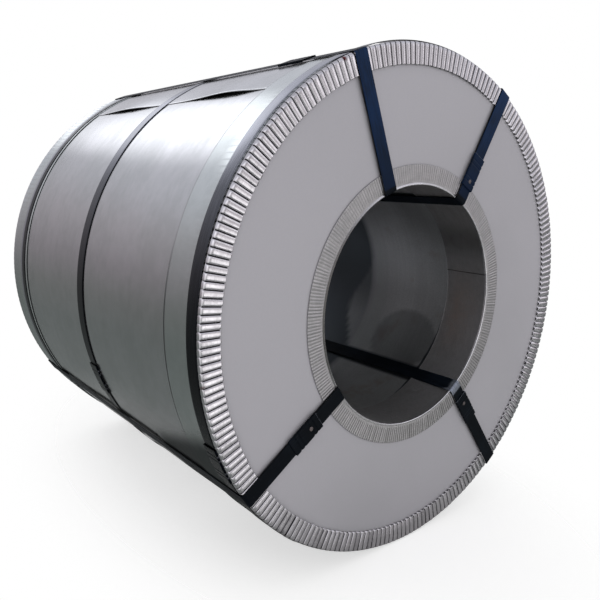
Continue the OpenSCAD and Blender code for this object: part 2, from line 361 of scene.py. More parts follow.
class Graph:
    """Adds nodes to one node tree and links them up."""

    def __init__(self, tree: bpy.types.NodeTree) -> None:
        """Empties the tree.

        Args:
            tree: Node tree of a material or of the world.
        """
        self.tree = tree
        tree.nodes.clear()

    def node(self, kind: str, inputs: dict, **settings: object) -> bpy.types.Node:
        """Adds a node.

        Args:
            kind: Type of the node.
            inputs: Values or sockets for its inputs, by name or number.
            settings: Properties of the node.

        Returns:
            The node.
        """
        made = self.tree.nodes.new(kind)
        for key, value in settings.items():
            setattr(made, key, value)
        for key, value in inputs.items():
            if isinstance(value, bpy.types.NodeSocket):
                self.tree.links.new(value, made.inputs[key])
            else:
                made.inputs[key].default_value = value
        return made

    def place(self) -> bpy.types.NodeSocket:
        """Coordinates of the object, in metres."""
        return self.node("ShaderNodeTexCoord", {}).outputs["Object"]

    def surface(self, along: float = 1.0, across: float = 1.0) -> bpy.types.NodeSocket:
        """Coordinates along the surface, in metres, scaled in its two directions."""
        uv = self.node("ShaderNodeUVMap", {}, uv_map="Surface").outputs[0]
        return self.node("ShaderNodeMapping", {"Vector": uv, "Scale": (along, across, 1.0)}).outputs[0]

    def shade(self, name: str) -> bpy.types.NodeSocket:
        """Value of a named shade of the piece."""
        return self.node("ShaderNodeAttribute", {}, attribute_name=name).outputs["Fac"]

    def pattern(self, form: Pattern) -> bpy.types.NodeSocket:
        """Noise of 0 to 1 that follows a pattern.

        Args:
            form: The pattern.

        Returns:
            The noise's value.
        """
        if form.across is None:
            vector, scale = self.place(), form.along
        else:
            vector, scale = self.surface(form.along, form.across), 1.0
        inputs = {"Vector": vector, "Scale": scale, "Detail": form.detail, "Roughness": form.rough}
        return self.node("ShaderNodeTexNoise", inputs).outputs["Fac"]

    def math(self, kind: str, first: object, second: object = 0.0) -> bpy.types.NodeSocket:
        """Result of a sum, product or the like of two values, clamped to 0 to 1."""
        return self.node("ShaderNodeMath", {0: first, 1: second}, operation=kind, use_clamp=True).outputs[0]

    def total(self, *parts: tuple[bpy.types.NodeSocket, float]) -> bpy.types.NodeSocket:
        """Sum of values times their weights, clamped to 0 to 1.

        Args:
            parts: Values and their weights.

        Returns:
            The sum.
        """
        gathered: object = 0.0
        for value, weight in parts:
            gathered = self.node("ShaderNodeMath", {0: value, 1: weight, 2: gathered},
                                 operation="MULTIPLY_ADD", use_clamp=True).outputs[0]
        return gathered

    def span(self, value: bpy.types.NodeSocket, low: float, high: float, to_low: float = 0.0,
             to_high: float = 1.0) -> bpy.types.NodeSocket:
        """Maps a value from one span to another, smoothly and clamped."""
        inputs = {"Value": value, "From Min": low, "From Max": high, "To Min": to_low, "To Max": to_high}
        return self.node("ShaderNodeMapRange", inputs, interpolation_type="SMOOTHSTEP").outputs[0]

    def mix(self, part: object, first: object, second: object) -> bpy.types.NodeSocket:
        """Blends two colours by a part of 0 to 1."""
        colours = [value if isinstance(value, bpy.types.NodeSocket) else (*value, 1.0)
                   for value in (first, second)]
        inputs = {0: part, 6: colours[0], 7: colours[1]}
        return self.node("ShaderNodeMix", inputs, data_type="RGBA").outputs[2]

    def bump(self, height: bpy.types.NodeSocket, distance: float, strength: float = 1.0,
             under: Optional[bpy.types.NodeSocket] = None) -> bpy.types.NodeSocket:
        """Normal of a surface raised by a height of 0 to 1 times a distance, over another normal."""
        inputs = {"Height": height, "Distance": distance, "Strength": strength}
        if under is not None:
            inputs["Normal"] = under
        return self.node("ShaderNodeBump", inputs).outputs[0]

    def facing(self, vector: bpy.types.NodeSocket, way: Colour) -> bpy.types.NodeSocket:
        """Dot product of a vector with a fixed direction."""
        made = self.node("ShaderNodeVectorMath", {0: vector, 1: way}, operation="DOT_PRODUCT")
        return made.outputs["Value"]


class MaterialGraph(Graph):
    """Graph of one material, around its main shader."""

    def __init__(self, name: str) -> None:
        """Starts a material that holds only a main shader.

        Args:
            name: Name of the material.
        """
        self.material = bpy.data.materials.new(name)
        self.material.use_nodes = True
        super().__init__(self.material.node_tree)
        self.shader = self.node("ShaderNodeBsdfPrincipled", {})
        self.node("ShaderNodeOutputMaterial", {0: self.shader.outputs[0]})

    def feed(self, **inputs: object) -> None:
        """Sets inputs of the main shader, named with underscores for blanks."""
        for key, value in inputs.items():
            socket = self.shader.inputs[key.replace("_", " ")]
            if isinstance(value, bpy.types.NodeSocket):
                self.tree.links.new(value, socket)
            else:
                socket.default_value = value


class Finish:
    """A surface finish that makes its material once."""

    made: dict[str, bpy.types.Material] = {}
    name: str

    def material(self) -> bpy.types.Material:
        """The finish's material, made at its first use."""
        if self.name not in Finish.made:
            graph = MaterialGraph(self.name)
            self.dress(graph)
            Finish.made[self.name] = graph.material
        return Finish.made[self.name]

    def dress(self, graph: MaterialGraph) -> None:
        """Builds the finish's nodes.

        Args:
            graph: Graph of the new material.
        """
        raise NotImplementedError


NOISE_SPAN: Span = (0.3, 0.7)


@dataclass(frozen=True)
class WrapSheetFinish(Finish):
    """Smooth galvanised sheet: soft spangle, streaks along the rolling direction, dull smears, painted shade
    and darkening.
    """

    name: str = "galvanised_wrap"
    bright: Colour = (0.64, 0.64, 0.65)
    dull: Colour = (0.55, 0.56, 0.56)
    # Near-black colour of the painted shade along the guards' edges and of the darkening low on the left.
    dirt: Colour = (0.03, 0.036, 0.034)
    roughness: Span = (0.24, 0.17)
    dirt_roughness: float = 0.85
    spangle: Pattern = Pattern(34.0, detail=4.0, rough=0.6)
    smear: Pattern = Pattern(3.0, 7.0, detail=5.0, rough=0.65)
    streak: Pattern = Pattern(2.0, 60.0)
    tone_shares: tuple[float, float, float] = (0.35, 0.57, 0.08)
    wear_shares: Span = (0.7, 0.3)
    contrast: Span = (0.36, 0.64)
    spangle_relief: Span = (0.1 * MM, 0.25)
    streak_relief: Span = (0.05 * MM, 0.32)

    def dress(self, graph: MaterialGraph) -> None:
        """Builds the finish's nodes."""
        spangle = graph.pattern(self.spangle)
        smear = graph.pattern(self.smear)
        streak = graph.pattern(self.streak)
        tone = graph.total(*zip((spangle, smear, streak), self.tone_shares))
        sheet = graph.mix(graph.span(tone, *self.contrast), self.dull, self.bright)
        worn = graph.total(*zip((smear, streak), self.wear_shares))
        clean = graph.span(worn, *NOISE_SPAN, *self.roughness)
        dirty = graph.shade("cavity")
        under = graph.bump(spangle, *self.spangle_relief)
        graph.feed(Metallic=1.0,
                   Base_Color=graph.mix(dirty, sheet, self.dirt),
                   Roughness=graph.math("MAXIMUM", clean, graph.math("MULTIPLY", dirty, self.dirt_roughness)),
                   Normal=graph.bump(streak, *self.streak_relief, under))


GUARD_LEG = WrapSheetFinish("guard_leg", (0.63, 0.66, 0.655), (0.55, 0.585, 0.575))


@dataclass(frozen=True)
class EndDiscFinish(Finish):
    """Matt grey sheet: even tone with a fine grain, soft clouds and painted shade beneath the straps."""

    name: str = "matt_disc"
    light: Colour = (0.552, 0.537, 0.574)
    dark: Colour = (0.512, 0.501, 0.534)
    # Near-black colour of the painted shade beneath the straps.
    rubbed: Colour = (0.02, 0.02, 0.025)
    roughness: Span = (0.44, 0.54)
    metal: float = 0.3
    gloss: float = 0.35
    cloud: Pattern = Pattern(3.5, detail=4.0)
    grain: Pattern = Pattern(420.0, detail=2.0)
    tone_shares: Span = (0.7, 0.3)
    relief: Span = (0.1 * MM, 0.4)

    def dress(self, graph: MaterialGraph) -> None:
        """Builds the finish's nodes."""
        cloud = graph.pattern(self.cloud)
        grain = graph.pattern(self.grain)
        tone = graph.total(*zip((cloud, grain), self.tone_shares))
        sheet = graph.mix(graph.span(tone, *NOISE_SPAN), self.dark, self.light)
        graph.feed(Base_Color=graph.mix(graph.shade("cavity"), sheet, self.rubbed),
                   Metallic=self.metal,
                   Roughness=graph.span(cloud, *NOISE_SPAN, *self.roughness),
                   Specular_IOR_Level=self.gloss,
                   Normal=graph.bump(grain, *self.relief))


@dataclass(frozen=True)
class GuardFinish(Finish):
    """Galvanised guard sheet: fine streaks along the pleats, painted shade in the grooves, dirt patches and a
    few stains.
    """

    name: str = "galvanised_guard"
    bright: Colour = (0.78, 0.76, 0.785)
    dull: Colour = (0.66, 0.64, 0.66)
    # Near-black colour of the painted shade in the grooves and of random dirt patches.
    dirt: Colour = (0.05, 0.048, 0.052)
    roughness: Span = (0.29, 0.19)
    stain: Colour = (0.13, 0.03, 0.032)
    patch: Pattern = Pattern(60.0, detail=4.0, rough=0.65)
    streak: Pattern = Pattern(900.0, 25.0)
    tone_shares: Span = (0.6, 0.4)
    contrast: Span = (0.35, 0.65)
    patch_dirt: float = 0.25
    dirt_span: Span = (0.36, 0.90)
    stain_ramp: Ramp = (0.3, 0.6, 0.5, 1.0)
    relief: Span = (0.2 * MM, 0.4)

    def dress(self, graph: MaterialGraph) -> None:
        """Builds the finish's nodes."""
        patch = graph.pattern(self.patch)
        tone = graph.total(*zip((patch, graph.pattern(self.streak)), self.tone_shares))
        sheet = graph.mix(graph.span(tone, *self.contrast), self.dull, self.bright)
        soiled = graph.total((graph.shade("cavity"), 1.0), (patch, self.patch_dirt))
        dirty = graph.mix(graph.span(soiled, *self.dirt_span), sheet, self.dirt)
        stained = graph.math("MULTIPLY", graph.shade("bare"), graph.span(patch, *self.stain_ramp))
        graph.feed(Metallic=1.0,
                   Base_Color=graph.mix(stained, dirty, self.stain),
                   Roughness=graph.span(tone, *self.contrast, *self.roughness),
                   Normal=graph.bump(tone, *self.relief))


# Near-black copy of the guard sheet for its inner face, painted shade where only shade falls.
GUARD_UNDERSIDE = GuardFinish("guard_underside", (0.035, 0.033, 0.036), (0.02, 0.019, 0.021))
EYE_GUARD = GuardFinish("galvanised_eye_guard", (0.57, 0.555, 0.56), (0.48, 0.47, 0.47), (0.12, 0.115, 0.11),
                        (0.50, 0.40), (0.62, 0.48, 0.41))
# Lighter, glossier copy of the eye guard's sheet on the rolled lip, as a painted highlight.
ROLLED_LIP = GuardFinish("rolled_lip", (0.80, 0.79, 0.80), (0.68, 0.67, 0.68), (0.16, 0.155, 0.15),
                         (0.32, 0.22))


@dataclass(frozen=True)
class StrapFinish(Finish):
    """Strap paint with painted light: lit blue high up, shaded near black low down and where the cavity shade
    is set; scuffed, worn at the edges.
    """

    name: str = "strap_paint"
    # A shaded and a lit copy of the paint, mixed by height as painted light.
    paint: Colour = (0.0025, 0.004, 0.0065)
    clean: Colour = (0.010, 0.031, 0.092)
    faded: Colour = (0.008, 0.012, 0.019)
    # Bare steel of worn paint, which at the lower right strap's lip also stands as a painted highlight.
    steel: Colour = (0.34, 0.37, 0.44)
    gloss: float = 0.06
    roughness: Span = (0.32, 0.46)
    heights: Span = (0.58, 1.02)
    scuff: Pattern = Pattern(18.0, 420.0, detail=4.0, rough=0.6)
    cloud: Pattern = Pattern(14.0)
    scuff_base: float = 0.35
    worn_span: Span = (0.55, 0.95)
    faded_ramp: Ramp = (0.18, 0.42, 0.0, 0.7)
    relief: Span = (0.08 * MM, 0.5)

    def dress(self, graph: MaterialGraph) -> None:
        """Builds the finish's nodes."""
        scuff = graph.pattern(self.scuff)
        rubbed = graph.math("MULTIPLY", graph.shade("bare"), graph.math("ADD", scuff, self.scuff_base))
        worn = graph.span(rubbed, *self.worn_span)
        # Painted light: the lit blue grows with height and gives way to near black where the cavity shade is
        # set.
        height = graph.node("ShaderNodeSeparateXYZ", {0: graph.place()}).outputs["Z"]
        clean = graph.math("SUBTRACT", graph.span(height, *self.heights), graph.shade("cavity"))
        paint = graph.mix(clean, self.paint, self.clean)
        dusty = graph.math("MULTIPLY", scuff, graph.pattern(self.cloud))
        tone = graph.mix(graph.span(dusty, *self.faded_ramp), paint, self.faded)
        graph.feed(Base_Color=graph.mix(worn, tone, self.steel),
                   Metallic=worn,
                   Roughness=graph.span(scuff, *NOISE_SPAN, *self.roughness),
                   Specular_IOR_Level=self.gloss,
                   Normal=graph.bump(scuff, *self.relief))


@dataclass(frozen=True)
class HoopFinish(Finish):
    """Blued strap steel: near black, bluish grey where a painted reflection lies on the upper left and where
    it is rubbed, with scuffs along the strap.
    """

    name: str = "blued_hoop"
    dark: Colour = (0.004, 0.0055, 0.009)
    # Bluish grey of the painted reflection and of rubbed edges.
    rubbed: Colour = (0.44, 0.45, 0.50)
    roughness: Span = (0.22, 0.32)
    scuff: Pattern = Pattern(18.0, 420.0, detail=4.0, rough=0.6)
    strength: Span = (0.8, 1.2)
    relief: Span = (0.08 * MM, 0.4)

    def dress(self, graph: MaterialGraph) -> None:
        """Builds the finish's nodes."""
        scuff = graph.pattern(self.scuff)
        sheen = graph.math("MULTIPLY", graph.shade("bare"), graph.span(scuff, *NOISE_SPAN, *self.strength))
        graph.feed(Metallic=1.0,
                   Base_Color=graph.mix(sheen, self.dark, self.rubbed),
                   Roughness=graph.span(scuff, *NOISE_SPAN, *self.roughness),
                   Normal=graph.bump(scuff, *self.relief))


@dataclass(frozen=True)
class DotFinish(Finish):
    """Stud face: dull metal with a fine grain."""

    name: str = "dull_stud"
    light: Colour = (0.185, 0.155, 0.152)
    dark: Colour = (0.12, 0.10, 0.10)
    metal: float = 0.6
    roughness: Span = (0.38, 0.52)
    grain: Pattern = Pattern(900.0)
    contrast: Span = (0.35, 0.65)

    def dress(self, graph: MaterialGraph) -> None:
        """Builds the finish's nodes."""
        grain = graph.pattern(self.grain)
        graph.feed(Base_Color=graph.mix(graph.span(grain, *self.contrast), self.dark, self.light),
                   Metallic=self.metal,
                   Roughness=graph.span(grain, *NOISE_SPAN, *self.roughness))


@dataclass(frozen=True)
class BoreSteelFinish(Finish):
    """Bare wound strip: smooth steel with streaks round the coil, dark painted reflections and shade, and
    faint brown stains.
    """

    name: str = "wound_steel"
    steel: Colour = (0.80, 0.80, 0.80)
    dull: Colour = (0.66, 0.66, 0.66)
    # Near-black colour of the painted reflections and shade in the bore.
    oily: Colour = (0.075, 0.085, 0.095)
    stain: Colour = (0.56, 0.47, 0.42)
    roughness: Span = (0.38, 0.46)
    streak: Pattern = Pattern(90.0, 1.5)
    cloud: Pattern = Pattern(5.0, detail=5.0, rough=0.6)
    grain: Pattern = Pattern(260.0, rough=0.6)
    blot: Pattern = Pattern(11.0, detail=4.0, rough=0.6)
    tone_shares: tuple[float, float, float] = (0.2, 0.45, 0.35)
    contrast: Span = (0.38, 0.62)
    stain_ramp: Ramp = (0.56, 0.74, 0.0, 0.6)
    relief: Span = (0.2 * MM, 0.05)

    def dress(self, graph: MaterialGraph) -> None:
        """Builds the finish's nodes."""
        forms = (self.streak, self.cloud, self.grain)
        tone = graph.total(*zip((graph.pattern(form) for form in forms), self.tone_shares))
        sheet = graph.mix(graph.span(tone, *self.contrast), self.dull, self.steel)
        blot = graph.pattern(self.blot)
        stained = graph.mix(graph.span(blot, *self.stain_ramp), sheet, self.stain)
        graph.feed(Metallic=1.0,
                   Base_Color=graph.mix(graph.shade("cavity"), stained, self.oily),
                   Roughness=graph.span(tone, *NOISE_SPAN, *self.roughness),
                   Normal=graph.bump(tone, *self.relief))


@dataclass
class WoundStrip:
    """The wound strip: one ring with its bore and the turns marked on its ends."""

    span: RingSpan
    strap_angles: tuple[float, ...]
    leg_edge: float
    strip_t: float = 0.8 * MM
    inner_end: float = math.radians(222.0)
    mark_pitch: float = 12.5 * MM
    mark_depth: float = 0.5 * MM
    columns: int = 240
    bore_rows: int = 84
    end_rows: int = 44
    outer_rows: int = 8

    EDGE_ROWS_MM = (1.0, -1.5, -3.5, -5.5, -7.5, -9.5, -11.5, -13.5)
    STEP_SHARE = 0.02
    MAP_LENGTH = 3.0
    SHARP = 30.0
    RING_HALF, RING_EDGE = 155.0 * MM, 12.0 * MM
    WAIST, WAIST_AT, WAIST_HALF = 70.0 * MM, 112.0, 34.0
    # Strengths and places of the painted reflections and shade in the bore.
    RIM_OIL, RIM_CLEARED, RIM_BELOW = 0.8, 0.6, (95.0, 30.0)
    FADE_OIL, FADE_REACH = 0.5, 140.0 * MM
    LOW_OIL, LOW_BELOW = 0.12, (86.0, 14.0)
    PATCH_OIL, PATCH_AT, PATCH_SIZE, PATCH_EDGE = 0.4, (126.0, -300.0 * MM), (19.5, 103.0 * MM), 0.12
    LINE_OIL, LINE_BACK, LINE_EDGE = 0.95, 3.0 * MM, 1.5 * MM
    TAPER, TAPER_AT, TAPER_HALF, TAPER_LEAST = 9.0 * MM, 142.0, 40.0, 0.5 * MM
    STRAP_OIL, STRAP_HALF, STRAP_EDGE = 0.9, 25.0 * MM, 4.0 * MM

    def oil(self, angle: Array, y: Array) -> Array:
        """How dark the bore is painted, as painted reflections and shade.

        Args:
            angle: Angles round the bore.
            y: Places along the axis.

        Returns:
            Values of 0 to 1, all painted reflection and shade: a dark ring at mid length that narrows below
            the axis, a duller lower half, an oval patch low on the right, a shadow line behind the guards'
            legs and a shade under each strap.
        """
        bearing = turned(angle)
        down, depth = np.abs(bearing), np.abs(y)
        waist = self.WAIST * hump(down, self.WAIST_AT, self.WAIST_HALF)
        ring = falling(depth, self.RING_HALF - waist, self.RING_EDGE)
        rim = self.RIM_OIL * falling(depth, self.RING_HALF, self.RING_EDGE)
        rim = rim * (1.0 - self.RIM_CLEARED * rising(down, *self.RIM_BELOW))
        fade = self.FADE_OIL * (1.0 - rising(depth, self.RING_HALF, self.FADE_REACH))
        low = self.LOW_OIL * rising(down, *self.LOW_BELOW)
        oval = np.hypot((bearing - self.PATCH_AT[0]) / self.PATCH_SIZE[0],
                        (y - self.PATCH_AT[1]) / self.PATCH_SIZE[1])
        patch = self.PATCH_OIL * falling(oval, 1.0, self.PATCH_EDGE)
        taper = self.TAPER * hump(down, self.TAPER_AT, self.TAPER_HALF)
        line = self.LINE_OIL * rising(depth, self.leg_edge - self.LINE_BACK - taper, self.LINE_EDGE)
        line = line * (taper > self.TAPER_LEAST)
        apart = np.abs(turned(angle[None] - np.reshape(self.strap_angles, (-1, 1, 1)))).min(axis=0)
        strap = self.STRAP_OIL * falling(np.radians(apart) * self.span.r_in, self.STRAP_HALF, self.STRAP_EDGE)
        clear = 1.0
        for dark in (ring, rim, fade, low, patch, line, strap):
            clear = clear * (1.0 - dark)
        return 1.0 - clear

    def build(self) -> None:
        """Builds the ring. Its section is a loop carried round the axis: bore, back end, outside, front end.

        The bore winds outwards by one strip thickness a turn, which leaves a step at the strip's inner
        end. On the ends the turns are a triangle wave of the radius, shifted by one pitch a turn.
        """
        turn = np.linspace(0.0, 1.0, self.columns, endpoint=False)
        turn = np.concatenate([turn, [1.0 - self.STEP_SHARE / self.columns]])
        angle = self.inner_end + turn * TURN
        bore = self.span.r_in + self.strip_t * turn
        outer = np.full_like(turn, self.span.r_out)
        half = self.span.y_high
        edge = self.leg_edge + np.array(self.EDGE_ROWS_MM) * MM
        y_rows = np.sort(np.concatenate([np.linspace(-half, half, self.bore_rows), edge, -edge]))[:, None]
        bore_part = polar(bore[None, :], angle[None, :], y_rows)
        share = np.linspace(0.0, 1.0, self.end_rows)[1:-1, None]
        radius = bore + (outer - bore) * share
        wave = np.abs(((radius / self.mark_pitch + turn) % 1.0) * 2.0 - 1.0)
        y = half - self.mark_depth * wave
        back = polar(radius, angle[None, :], y)
        front = polar(radius[::-1], angle[None, :], -y[::-1])
        outside = polar(outer[None, :], angle[None, :], np.linspace(half, -half, self.outer_rows)[:, None])
        points = np.concatenate([bore_part, back, outside, front])
        # Painted reflections and shade of the bore, carried in the cavity shade.
        oily = np.zeros(points.shape[:2])
        oily[:len(y_rows)] = self.oil(angle[None, :], y_rows)
        piece = PieceMesh("wound_strip")
        along = np.linspace(0.0, self.MAP_LENGTH, len(points) + 1)
        piece.grid(points, (along, np.append(turn, 1.0) * TURN * self.span.r_in),
                   close_rows=True, close_cols=True, cavity=oily)
        piece.build([BoreSteelFinish()], "wound_strip", ["coil"], sharp=self.SHARP)


@dataclass
class WrapSheet:
    """The wrapping sheet: one turn of thin sheet whose free edge laps over its start and bows open."""

    span: RingSpan
    guard_edge: float
    sheet_t: float = 0.8 * MM
    face_r: float = 521.1 * MM
    lap_rise: float = 0.95 * MM
    lap_angle: float = math.radians(-35.0)
    lap_w: float = 90.0 * MM
    settle: float = math.radians(11.0)
    lift_front: float = 6.0 * MM
    lift_back: float = 5.0 * MM
    wave: float = 0.9 * MM
    rows: int = 262
    lap_rows: int = 40
    columns: int = 76

    ARCH_SKEW, BOW_POWER, BOW_REACH, TUCKED = 1.6, 1.5, 1.5, 0.9
    RIPPLE_SEED, RIPPLE_WAVES, RIPPLE_REACH, RIPPLE_SCALE = 11, 14, 7.0, 2.0
    # Rows and strength of the painted shadow line along each guard's edge.
    DIRT_ROWS_MM = (1.0, -3.0, -6.5, -9.0)
    DIRT, DIRT_W, DIRT_EDGE, DIRT_LAP, DIRT_BELOW = 0.9, 9.0 * MM, 2.5 * MM, 2.0 * MM, (68.0, 20.0)

    def bow(self, y: Array) -> Array:
        """Opening of the free edge along the axis.

        Args:
            y: Places along the axis.

        Returns:
            Lifts: a squared sine arch in each bay, with its top nearer the front guard in front.
        """
        share = np.clip(np.abs(y) / self.guard_edge, 0.0, 1.0)
        arch = np.sin(np.pi * np.where(y < 0.0, share ** self.ARCH_SKEW, share)) ** 2
        return np.where(y < 0.0, self.lift_front, self.lift_back) * arch

    def dirt(self, angle: Array, y: Array) -> Array:
        """How dark the sheet is painted.

        Args:
            angle: Angles round the coil.
            y: Places along the axis.

        Returns:
            Values of 0 to 1: a painted shadow line along each guard's edge that fades in down the side, and
                the darkening low on the left.
        """
        depth = np.abs(y)
        line = self.DIRT * rising(depth, self.guard_edge - self.DIRT_W, self.DIRT_EDGE)
        line = line * (depth < self.guard_edge + self.DIRT_LAP)
        line = line * rising(np.abs(turned(angle)), *self.DIRT_BELOW)
        return np.maximum(line, FootGrime().over(angle, y))

    def build(self) -> None:
        """Builds the sheet over arc and length.

        From the free edge the arc runs clockwise once round and on under the lap. The radius is the
        sheet's own, plus the lap's rise that eases off beyond the lap, plus the bow that falls with the
        power 1.5 of the distance from the free edge, plus a soft outward ripple between the straps.
        """
        lap = self.lap_w / self.face_r
        arc = np.concatenate([np.linspace(0.0, lap + self.settle, self.lap_rows, endpoint=False),
                              np.linspace(lap + self.settle, TURN + lap * self.TUCKED, self.rows)])[:, None]
        edge = self.guard_edge + np.array(self.DIRT_ROWS_MM) * MM
        y = np.linspace(self.span.y_low, self.span.y_high, self.columns)
        y = np.sort(np.concatenate([y, edge, -edge]))[None, :]
        angle = self.lap_angle + arc
        settled = rising(arc, lap, self.settle)
        rise = self.lap_rise * (1.0 - settled)
        bow = self.bow(y) * np.clip(1.0 - arc / (self.BOW_REACH * lap), 0.0, 1.0) ** self.BOW_POWER
        bay = np.sin(np.pi * np.clip(np.abs(y) / self.guard_edge, 0.0, 1.0)) ** 2
        swell = 0.5 + 0.5 * ripple(arc / TURN + 0.0 * y, self.RIPPLE_SCALE * y + 0.0 * arc,
                                   self.RIPPLE_SEED, self.RIPPLE_WAVES, self.RIPPLE_REACH)
        clear = settled * falling(arc, TURN, self.settle)
        radius = self.face_r + rise + bow + self.wave * bay * clear * np.clip(swell, 0.0, 1.0)
        piece = PieceMesh("wrapping_sheet")
        piece.grid(polar(radius, angle, y), (arc[:, 0] * self.face_r, y[0]), cavity=self.dirt(angle, y))
        piece.build([WrapSheetFinish()], "wrap_sheet", ["outer_wrap"], thickness=self.sheet_t)


@dataclass
class EndDisc:
    """A flat sheet ring that closes one end of the coil."""

    end: End
    span: RingSpan
    strap_angles: tuple[float, ...]
    wave: float = 0.25 * MM
    rub_half: float = 15.0 * MM
    rub_edge: float = 3.0 * MM
    columns: int = 900
    rows: int = 8

    RIPPLE_SEED, RIPPLE_WAVES, RIPPLE_REACH = 5, 8, 4.0
    MAP_RADIUS = 0.4

    def rubbed(self, radius: Array, angle: Array) -> Array:
        """How much painted shade falls beneath the straps.

        Args:
            radius: Distances from the axis.
            angle: Angles round the coil.

        Returns:
            Values of 0 to 1: full beneath a strap, with soft edges.
        """
        swing = angle - np.array(self.strap_angles)[:, None, None]
        aside = np.where(np.cos(swing) > 0.0, np.abs(radius * np.sin(swing)), 1.0).min(axis=0)
        return falling(aside, self.rub_half, self.rub_edge)

    def build(self) -> None:
        """Builds the ring: its section is a loop of outer face and inner face, carried round the axis.

        The outer face swells outwards by a soft ripple of angle and radius.
        """
        low, high = sorted((abs(self.span.y_low), abs(self.span.y_high)))
        radius = np.linspace(self.span.r_in, self.span.r_out, self.rows)[:, None]
        angle = np.linspace(0.0, TURN, self.columns, endpoint=False)[None, :]
        share = (radius - self.span.r_in) / (self.span.r_out - self.span.r_in)
        swell = 0.5 + 0.5 * ripple(angle / TURN + 0.0 * share, share + 0.0 * angle,
                                   self.RIPPLE_SEED + self.end.value, self.RIPPLE_WAVES, self.RIPPLE_REACH)
        depth = high + self.wave * np.clip(swell, 0.0, 1.0) * np.sin(np.pi * share)
        outer = polar(radius, angle, self.end.value * depth)
        inner = polar(radius[::-1], angle, self.end.value * low + 0.0 * radius)
        # Painted shade beneath the straps, carried in the cavity shade.
        rubbed = self.rubbed(radius, angle)
        loop = np.append(np.concatenate([radius[:, 0], radius[::-1, 0]]), self.span.r_in)
        around = np.linspace(0.0, TURN, self.columns + 1) * self.MAP_RADIUS
        piece = PieceMesh(f"end_sheet_{self.end.word}")
        piece.grid(np.concatenate([outer, inner]), (loop, around), close_rows=True, close_cols=True,
                   flip=self.end is End.FRONT, cavity=np.concatenate([rubbed, rubbed[::-1]]))
        piece.build([EndDiscFinish()], "end_disc", [f"end_disc_{self.end.word}"])


